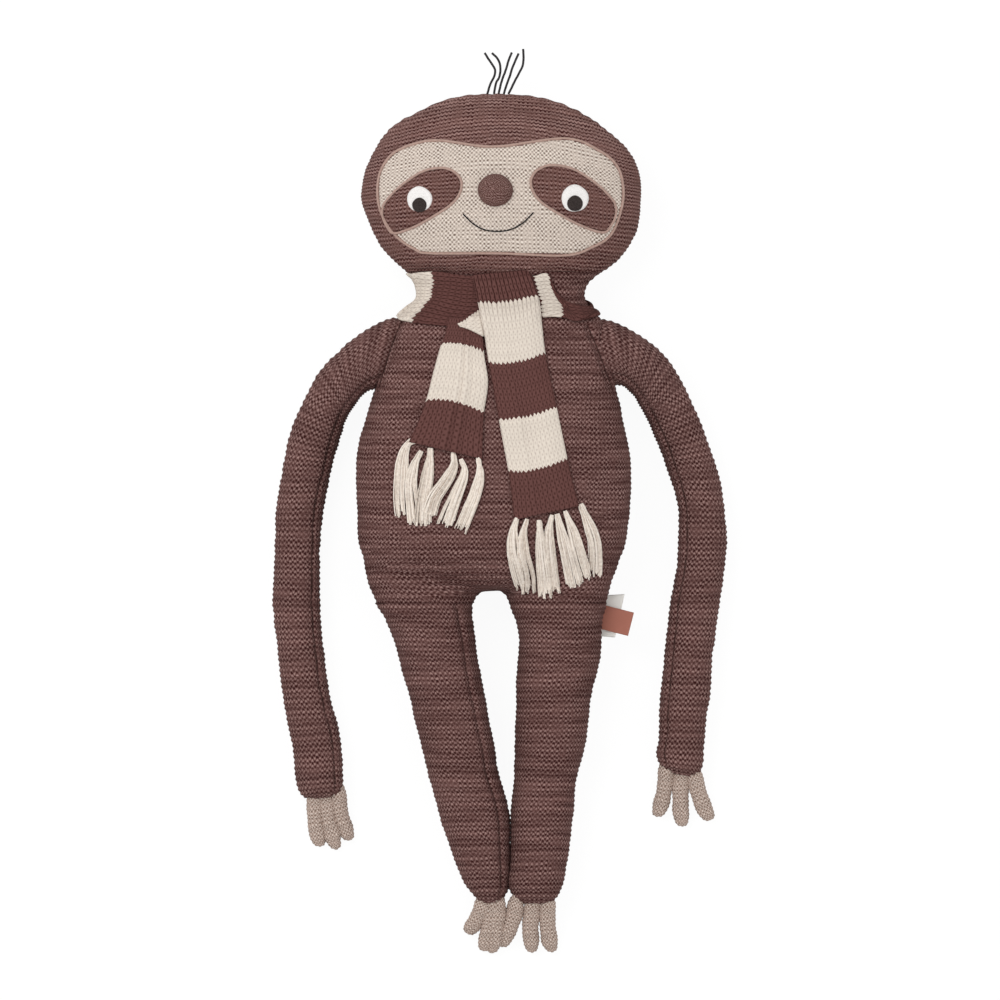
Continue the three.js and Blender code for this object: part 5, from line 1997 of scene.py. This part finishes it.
@dataclass
class ScarfTail:
    """A hanging end of the scarf with its fringe."""

    shop: Workshop
    name: str
    body: str
    edges: list[tuple[float, float, float, float]]
    changes_at: tuple[int, ...]
    tassels: list[list[tuple[float, float]]]
    folds: tuple[tuple[float, float, float], ...]
    hinge: float
    sag: float
    gathered: float = 0.0
    tuck: float = 0.0
    thickness: float = 3.0
    row: float = 2.3
    tassel_width: float = 10.5
    clumps: int = 7
    yarns: int = 63
    yarn_radius: float = 0.36
    spacing: float = 1.3
    lowest: float = 20.0  # where the fringe has nothing under it
    blurs: int = 14

    def surface(self, ground: Ground) -> tuple[np.ndarray, np.ndarray, np.ndarray]:
        """Lays the tail's middle surface on what is under it.

        Args:
            ground: What it lies on.

        Returns:
            The points, the places across and along the knitting, and the distance along at each edge row.
        """
        table = np.array(self.edges, float)
        left, right = place(table[:, :2].tolist()), place(table[:, 2:].tolist())
        middle = (left + right) / 2
        given = travelled(middle)
        at = np.linspace(0, given[-1], int(given[-1] / self.spacing))
        lines = curved(np.concatenate([left, right], axis=1), given, at)
        width = float(np.linalg.norm(right - left, axis=1).mean())
        columns = int(width / self.spacing)
        share = np.linspace(0, 1, columns)
        flat = lines[:, None, :2] * (1 - share[:, None]) + lines[:, None, 2:] * share[:, None]
        height = ground.height(flat[..., 0], flat[..., 1], self.lowest)
        height = softened(raised(height, 2), self.blurs) + self.thickness / 2 + FLOOR_GAP
        height -= self.tuck * (1 - smoothstep(at, 0, 8))[:, None]
        fold = np.zeros(columns)
        for middle_share, wide, tall in self.folds:
            fold += tall * np.exp(-(((share - middle_share) / wide) ** 2))
        drift = 1 + 0.5 * np.sin(at / 31 + len(self.name))[:, None]
        height += fold[None, :] * drift + 0.35 * np.sin(at / 13)[:, None] * np.sin(share * 7)[None, :]
        grid = np.concatenate([flat, height[..., None]], axis=2)
        curve = self.sag * 4 * share**0.8 * (1 - share) * smoothstep(at, 10, 25)[:, None]
        rows = np.stack(np.broadcast_arrays((share * width)[None, :], at[:, None] - curve), axis=-1)
        return grid, rows, given

    def finish(self, given: np.ndarray) -> bpy.types.Material:
        """Gives the tail's striped knit, which changes yarn at the given edge rows.

        Args:
            given: The distance along the tail of each edge row.

        Returns:
            The material.
        """
        # In both yarns the darkest colour is painted shade in the holes and the palest a painted highlight on
        # the strands
        return StripedKnit(
            f"striped cotton knit, {self.name}", hollow_shade="#361d1b", body="#50322e", light="#684642",
            stitch=2.9, row=self.row, relief=0.3, speckle=0.16, unevenness=0.04,
            changes=tuple(float(given[i]) for i in self.changes_at), gathered=self.gathered,
        ).material()

    def build(self, ground: Ground) -> bpy.types.Object:
        """Makes the tail and its tassels.

        Args:
            ground: What the tail lies on.

        Returns:
            The tail.
        """
        grid, rows, given = self.surface(ground)
        piece = cloth_solid(f"scarf_{self.name}", grid, rows, self.thickness, self.finish(given))
        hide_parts(f"scarf_{self.name}_tail")
        tassels = self.fringe(ground)
        start, end = (0, self.hinge * MM, 0), (0, (self.hinge - 14) * MM, 0)
        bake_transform(piece)
        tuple(start)
        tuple(end)
        return piece

    def fringe(self, ground: Ground) -> list[bpy.types.Object]:
        """Makes the tassels, each a bunch of yarns tied at its root.

        Args:
            ground: What they lie on.

        Returns:
            The tassels.
        """
        made = []
        for index, pixels in enumerate(self.tassels, start=1):
            random = np.random.default_rng(100 * len(self.name) + index)
            line = even_path(place(pixels), 3.0)
            base = ground.height(line[:, 0], line[:, 1], self.lowest)
            heading = np.gradient(line, axis=0)
            side = np.stack([-heading[:, 1], heading[:, 0]], axis=1)
            side /= np.linalg.norm(side, axis=1, keepdims=True)
            share = np.linspace(0, 1, len(line))
            spread = np.interp(
                share, [0, 0.04, 0.09, 0.16, 0.35, 0.7, 1], [0.26, 0.42, 0.30, 0.50, 0.80, 0.97, 1.08]
            )
            tall = np.interp(share, [0, 0.06, 0.12, 0.3, 1], [1.1, 1.5, 1.1, 1.2, 0.8])
            paths = []
            for clump in range(self.clumps):
                middle = (clump + 0.5) / self.clumps * 2 - 1 + random.normal() * 0.06
                sway = random.normal() * 0.14 * share**1.5 + 0.05 * np.sin(share * 5 + random.uniform(0, 6))
                loft = random.uniform(-0.5, 0.5)
                length = random.uniform(0.9, 1.0)
                for _ in range(self.yarns // self.clumps):
                    out = middle * 0.86 + random.normal() * 0.11
                    own = random.normal() * 0.05 * share**2
                    aside = (out * spread + sway + own) * self.tassel_width / 2
                    up = random.uniform(-1, 1)
                    arc = math.sqrt(max(0.0, 1 - min(1.0, abs(out)) ** 2))
                    rise = 1.2 + tall * (1 + (loft + 0.7 * up) * arc) + 0.3 * share * random.normal()
                    points = np.column_stack([line + side * aside[:, None], base + np.maximum(rise, 0.6)])
                    end = min(1.0, length * random.uniform(0.93, 1.04))
                    cut = np.linspace(0, end, len(line))
                    paths.append(between(points, share, cut))
            piece = self.shop.cords.along(
                f"{self.name}_tassel_{index}", paths, self.shop.finish["fringe"],
                radius=self.yarn_radius, wobble=0.9,
            )
            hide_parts(f"{self.name}_tail_tassel_{index}")
            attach(piece, self.body)
            made.append(piece)
        return made


@dataclass
class Scarf:
    """The striped scarf: a band round the neck, a crossed-over end and two tails."""

    shop: Workshop
    torso: Torso
    thickness: float = 3.2
    row: float = 2.3
    # Lines across the band from its upper to its lower edge, in pixels of the picture, from left to right
    stations: tuple = (
        ((409.5, 274), (413, 289), (410, 304), (397, 317)),
        ((434, 271.5), (435.5, 289), (428, 304), (414.7, 322.5)),
        ((455, 274), (457, 292), (451, 309), (440, 325)),
        ((474, 276), (477, 294), (474, 312), (461, 327)),
        ((502, 276), (506, 294), (508, 311), (506, 325)),
        ((533, 276), (537, 290), (541, 303), (543, 317)),
        ((549, 274.5), (553, 290), (563, 304), (563, 317.5)),
        ((568, 303), (572, 308), (576, 314), (577, 321)),
        ((590, 306), (594, 309), (596, 312.5), (594, 316.5)),
    )
    back: tuple = (-25, -60, -90, -120, -155)  # its lines behind the neck, in degrees round it
    rings: int = 300
    columns: int = 34
    crossed_thickness: float = 2.6
    crossed_columns: int = 22
    stitch: float = 2.9

    def band(self) -> bpy.types.Object:
        """Makes the band round the neck.

        Returns:
            The band.
        """
        form = self.torso.form
        lift = self.thickness / 2 + 0.5
        controls = []
        for station in self.stations:
            spots = place(station)
            middle, _, half, _ = form.section(spots[:, 1])
            reach = np.clip((spots[:, 0] - middle) / (half + lift), -1, 1)
            cosine = np.sign(reach) * np.abs(reach) ** (form.power / 2)
            controls.append(np.stack([np.degrees(np.arccos(cosine)), spots[:, 1]], axis=1))
        first, last = controls[0], controls[-1]
        for turn in self.back:
            share = turn / -180
            edge = (1 - share) * last[:, 1] + share * first[:, 1]
            controls.append(np.stack([np.full(4, float(turn)), edge + 6 * math.sin(math.pi * share)], axis=1))
        table = np.array(controls)
        around = np.concatenate([table, table[:1] + [[-360, 0]]])
        given = np.arange(len(around))
        fine = np.linspace(0, len(around) - 1, self.rings, endpoint=False)
        lines = curved(around, given, fine)
        share = np.linspace(0, 3, self.columns)
        grid_turn, grid_y = (
            np.array([np.interp(share, np.arange(4), line) for line in lines[..., k]]) for k in range(2)
        )
        turn = np.radians(grid_turn)
        middle, height, half, rise = form.section(grid_y)
        grid = np.stack(
            [
                middle + (half + lift) * form.rounded(np.cos(turn)),
                grid_y,
                height + (rise + lift) * form.rounded(np.sin(turn)),
            ],
            axis=-1,
        )
        middle_line = grid[:, self.columns // 2]
        ring = np.linalg.norm(np.diff(middle_line, axis=0, append=middle_line[:1]), axis=1)
        way = np.concatenate([[0], np.cumsum(ring)])[:-1]
        normal = surface_normals(grid, False)
        outward = grid - grid.mean(axis=(0, 1))
        normal *= np.sign((normal * outward).sum())
        wrinkle = 0.9 * np.sin(np.linspace(0, 5.2, self.columns) + 0.012 * way[:, None])
        wrinkle += 0.5 * lumps(grid, 18, 8)
        grid += normal * wrinkle[..., None]
        grid[..., 2] = np.maximum(grid[..., 2], FLOOR_GAP + self.thickness / 2)
        local = np.linalg.norm(grid[:, -1] - grid[:, 0], axis=1)
        across = np.linspace(-0.5, 0.5, self.columns)[None, :] * local[:, None]
        rows_map = np.stack(np.broadcast_arrays(across, way[:, None]), axis=-1)
        at = np.interp(given, fine, way)
        changes = tuple(float(at[i]) for i in (1, 5, 6, len(given) - 2))
        # In both yarns the darkest colour is painted shade in the holes and the palest a painted highlight on
        # the strands
        finish = StripedKnit(
            "striped cotton knit, band", **CREAM,
            second_hollow_shade="#361d1b", second_body="#4e302c", second_light="#65433f",
            stitch=self.stitch, row=self.row, relief=0.35, speckle=0.16, unevenness=0.08,
            changes=changes, ribs=0.6,
        ).material()
        piece = cloth_solid("scarf_band", grid, rows_map, self.thickness, finish, closed=True)
        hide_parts("scarf_wrap")
        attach(piece, "torso")
        return piece

    def crossover(self, ground: Ground) -> bpy.types.Object:
        """Makes the cream end that crosses under the long tail.

        Args:
            ground: What it lies on.

        Returns:
            The crossed end.
        """
        upper = place([(457.5, 324), (468, 317), (479, 309), (505, 303), (525, 300), (535, 299)])
        lower = place([(460, 326.5), (470, 330), (483, 336.5), (505, 334), (525, 327), (535, 322)])
        fine = np.linspace(0, len(upper) - 1, 110)
        # Its upper edge is where the yarn changes, so it ends in the teeth of the stitches
        reach = np.linalg.norm(np.diff(upper, axis=0), axis=1).sum() * fine / fine[-1]
        tooth = np.abs((reach / self.stitch) % 1 - 0.5) * 2.4 * smoothstep(reach, 1.0, 4.0)
        inward = (lower[0] + lower[2] - upper[0] - upper[2]) / 2
        inward /= np.linalg.norm(inward)
        lines = [between(edge, np.arange(len(upper)), fine) for edge in (upper, lower)]
        lines[0] = lines[0] + tooth[:, None] * inward
        share = np.linspace(0, 1, self.crossed_columns)[None, :, None]
        flat = lines[0][:, None, :] * (1 - share) + lines[1][:, None, :] * share
        height = softened(raised(ground.height(flat[..., 0], flat[..., 1], 20.0), 1), 6) + 1.6
        grid = np.concatenate([flat, height[..., None]], axis=2)
        way = travelled(grid[:, self.crossed_columns // 2])
        wide = np.linalg.norm(grid[:, -1] - grid[:, 0], axis=1)
        across = np.linspace(-0.5, 0.5, self.crossed_columns)[None, :] * wide[:, None]
        rows = np.stack([across, np.broadcast_to(way[:, None], across.shape)], axis=-1)
        finish = StripedKnit(
            "striped cotton knit, crossed end", **CREAM,
            stitch=self.stitch, row=self.row, relief=0.3, speckle=0.12, unevenness=0.04,
        ).material()
        piece = cloth_solid("scarf_crossed_end", grid, rows, self.crossed_thickness, finish)
        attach(piece, "torso")
        return piece

    def tails(self) -> tuple[ScarfTail, ScarfTail]:
        """Gives the short and the long tail, before they are laid.

        Returns:
            The short tail and the long one.
        """
        short = ScarfTail(
            self.shop, "short", "short_scarf_tail",
            edges=[
                (449, 318, 484, 318), (445, 335, 483, 336), (441.5, 344, 484, 352.6), (434, 370, 488, 381.6),
                (426, 400.6, 484, 413), (417, 424, 483, 435), (409, 442, 482, 459),
            ],
            changes_at=(2, 4),
            tassels=[
                [(415, 441), (409, 443), (404, 454), (402, 478), (402, 500), (404, 517)],
                [(421.6, 451), (415, 464), (411, 484), (413, 505), (416, 524)],
                [(430.5, 448), (430, 462), (427, 482), (424, 505), (424, 526)],
                [(453, 452), (454, 466), (445, 482), (434, 497), (428, 515)],
                [(461, 459), (465, 472), (458, 492), (451, 510), (445, 527)],
                [(478, 457), (480, 474), (475, 494), (468, 512), (460, 532)],
            ],
            folds=((0.47, 0.035, 1.6), (0.62, 0.04, 1.8), (0.05, 0.08, 0.8)),
            hinge=117.6, sag=-3.0,
        )
        long = ScarfTail(
            self.shop, "long", "long_scarf_tail",
            edges=[
                (472, 275, 530, 270), (474, 283, 532, 277), (478, 303.5, 538.6, 297), (484, 332.5, 542, 325),
                (488.4, 361.5, 545.3, 352.6), (493.5, 390, 551, 380), (498.4, 417.3, 556.5, 406.2),
                (503.5, 445, 562, 433), (508.5, 472, 567.6, 459.7), (514, 520, 579, 506),
            ],
            changes_at=(2, 4, 6, 8),
            tassels=[
                [(517, 518), (513, 532), (513, 550), (518, 570), (524, 588)],
                [(527, 519), (523, 536), (524, 555), (529, 575), (530, 594)],
                [(538.6, 520), (540, 540), (542, 562), (544, 582), (545, 599)],
                [(552, 515), (549, 533), (550, 556), (552, 576), (554.6, 594)],
                [(557, 514), (561, 532), (566, 555), (570, 573), (573, 588)],
                [(565, 511), (572, 530), (577, 550), (582, 568), (587, 582)],
                [(580.5, 504), (587, 520), (594, 538), (596, 556), (595, 577)],
            ],
            folds=((0.3, 0.07, 0.9), (0.75, 0.12, 0.6), (0.98, 0.06, -0.4)),
            hinge=153.5, sag=2.8, gathered=42.0, tuck=3.5,
        )
        return short, long

    def build(self, torso_piece: bpy.types.Object) -> None:
        """Makes the whole scarf.

        Args:
            torso_piece: The body's skin, which the scarf lies on.
        """
        band = self.band()
        short, long = self.tails()
        short_piece = short.build(Ground(torso_piece))
        crossed = self.crossover(Ground(torso_piece, band, short_piece))
        long.build(Ground(torso_piece, band, crossed))


@dataclass
class Labels:
    """Two bare labels sewn into the outer seam of the right leg."""

    shop: Workshop
    leg: Leg

    def tag(
        self, name: str, node: str, corners: list, height: float, material: bpy.types.Material,
        thickness: float, curl: float,
    ) -> None:
        """Makes a label between four corners.

        Args:
            name: The piece's name.
            node: The node that it stands for.
            corners: Pixels of its corners, in order round it, from the seam's side.
            height: Its height above the resting plane.
            material: Its material.
            thickness: Its thickness.
            curl: How far its free end bends up.
        """
        a, b, c, d = place(corners)
        s, t = np.meshgrid(np.linspace(0, 1, 26), np.linspace(0, 1, 20))
        s, t = s[..., None], t[..., None]
        flat = (a * (1 - s) + b * s) * (1 - t) + (d * (1 - s) + c * s) * t
        rise = height + curl * s[..., 0] ** 2 + 0.25 * np.sin(5 * t[..., 0] + 3 * s[..., 0])
        grid = np.concatenate([flat, rise[..., None]], axis=2)
        wide, tall = float(np.linalg.norm(b - a)), float(np.linalg.norm(d - a))
        rows = np.concatenate([s * wide, t * tall], axis=2)
        piece = cloth_solid(name, grid, rows, thickness, material)
        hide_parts(node)
        self.leg.follow(piece)

    def build(self) -> None:
        """Makes both labels."""
        terracotta = [(600, 604), (634, 612.6), (628, 636), (597, 628)]
        self.tag("side_label_tape", "side_label", terracotta, 33.0, self.shop.finish["tape"], 1.0, 1.5)
        care = [(600, 595.5), (624.6, 594), (615, 637.5), (597, 636)]
        self.tag("care_label_ribbon", "care_label", care, 31.2, self.shop.finish["ribbon"], 0.6, 0.8)


@dataclass
class Studio:
    """The camera above the toy, the soft lamps, the white world and the pale floor."""

    span: float = 700.0
    lamp_height: float = 2.0
    ambient: float = 0.62

    def camera(self) -> None:
        """Puts the camera straight above, with the head at the picture's top."""
        data = bpy.data.cameras.new("camera")
        data.type = "ORTHO"
        data.ortho_scale = self.span * MM
        data.clip_end = 10.0
        camera = bpy.data.objects.new("camera", data)
        camera.location = (0, MIDDLE_Y * MM, 2.5)
        bpy.context.scene.collection.objects.link(camera)
        bpy.context.scene.camera = camera

    def lamps(self) -> None:
        """Hangs a large soft key lamp and a weaker fill."""
        for name, spot, power, size in (
            ("key", (-0.9, 0.8, self.lamp_height), 21.0, 1.2),
            ("fill", (1.1, -0.5, self.lamp_height), 7.0, 1.6),
        ):
            data = bpy.data.lights.new(name, "AREA")
            data.energy = power
            data.size = size
            lamp = bpy.data.objects.new(name, data)
            lamp.location = spot
            lamp.rotation_euler = (-Vector(spot)).to_track_quat("-Z", "Y").to_euler()
            bpy.context.scene.collection.objects.link(lamp)

    @staticmethod
    def seen(tree: bpy.types.NodeTree) -> bpy.types.Node:
        """Gives 1 to the rays that should see a white background, and 0 to the others.

        Args:
            tree: The node tree of the world or the floor.

        Returns:
            The node that gives it.
        """
        rays = add_node(tree, "ShaderNodeLightPath")
        some = add_node(
            tree, "ShaderNodeMath", [rays.outputs["Is Camera Ray"], rays.outputs["Is Glossy Ray"]],
            operation="MAXIMUM",
        )
        return add_node(
            tree, "ShaderNodeMath", [some, rays.outputs["Is Transmission Ray"]], operation="MAXIMUM"
        )

    def world(self) -> None:
        """Makes the world white to the camera and softer to the toy."""
        world = bpy.data.worlds.new("studio")
        bpy.context.scene.world = world
        world.use_nodes = True
        tree = world.node_tree
        tree.nodes.clear()
        strength = add_node(tree, "ShaderNodeMapRange", [self.seen(tree), 0.0, 1.0, self.ambient, 1.0])
        back = add_node(tree, "ShaderNodeBackground", {"Color": (1, 1, 1, 1), "Strength": strength})
        add_node(tree, "ShaderNodeOutputWorld", [back])

    def floor(self) -> None:
        """Lays a pale floor that keeps the toy's shadow."""
        mesh = bpy.data.meshes.new("floor")
        reach = 6.0
        corners = [(-reach, -reach, 0), (reach, -reach, 0), (reach, reach, 0), (-reach, reach, 0)]
        mesh.from_pydata(corners, [], [[0, 1, 2, 3]])
        material = bpy.data.materials.new("matt white paint, floor")
        material.use_nodes = True
        tree = material.node_tree
        tree.nodes.clear()
        matt = add_node(tree, "ShaderNodeBsdfDiffuse", [linear("#f4f4f4")])
        glow = add_node(tree, "ShaderNodeEmission", [(1, 1, 1, 1), 1.04])
        share = add_node(tree, "ShaderNodeMath", [self.seen(tree), 0.9], operation="MULTIPLY")
        both = add_node(tree, "ShaderNodeMixShader", [share, matt, glow])
        add_node(tree, "ShaderNodeOutputMaterial", [both])
        mesh.materials.append(material)
        link("floor", mesh)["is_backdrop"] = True

    def build(self) -> None:
        """Sets the whole scene."""
        bpy.context.scene.view_settings.view_transform = "Standard"
        self.camera()
        self.lamps()
        self.world()
        self.floor()


def main() -> None:
    """Builds the toy part by part."""
    logging.basicConfig(level=logging.INFO, format="%(message)s")
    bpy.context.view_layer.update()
    Studio().build()
    shop = Workshop()
    Head(shop).build()
    log.info("head built")
    torso = Torso(shop)
    torso_piece = torso.build()
    log.info("torso built: %d faces", len(torso_piece.data.polygons))
    for side in Side:
        Arm(shop, side, torso).build()
        Leg(shop, side).build()
    log.info("limbs built")
    Scarf(shop, torso).build(torso_piece)
    log.info("scarf built")
    Labels(shop, Leg(shop, Side.RIGHT)).build()
    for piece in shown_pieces():
        log.info("%s: %d faces", piece.name, len(piece.data.polygons))


if __name__ == "__main__":
    main()
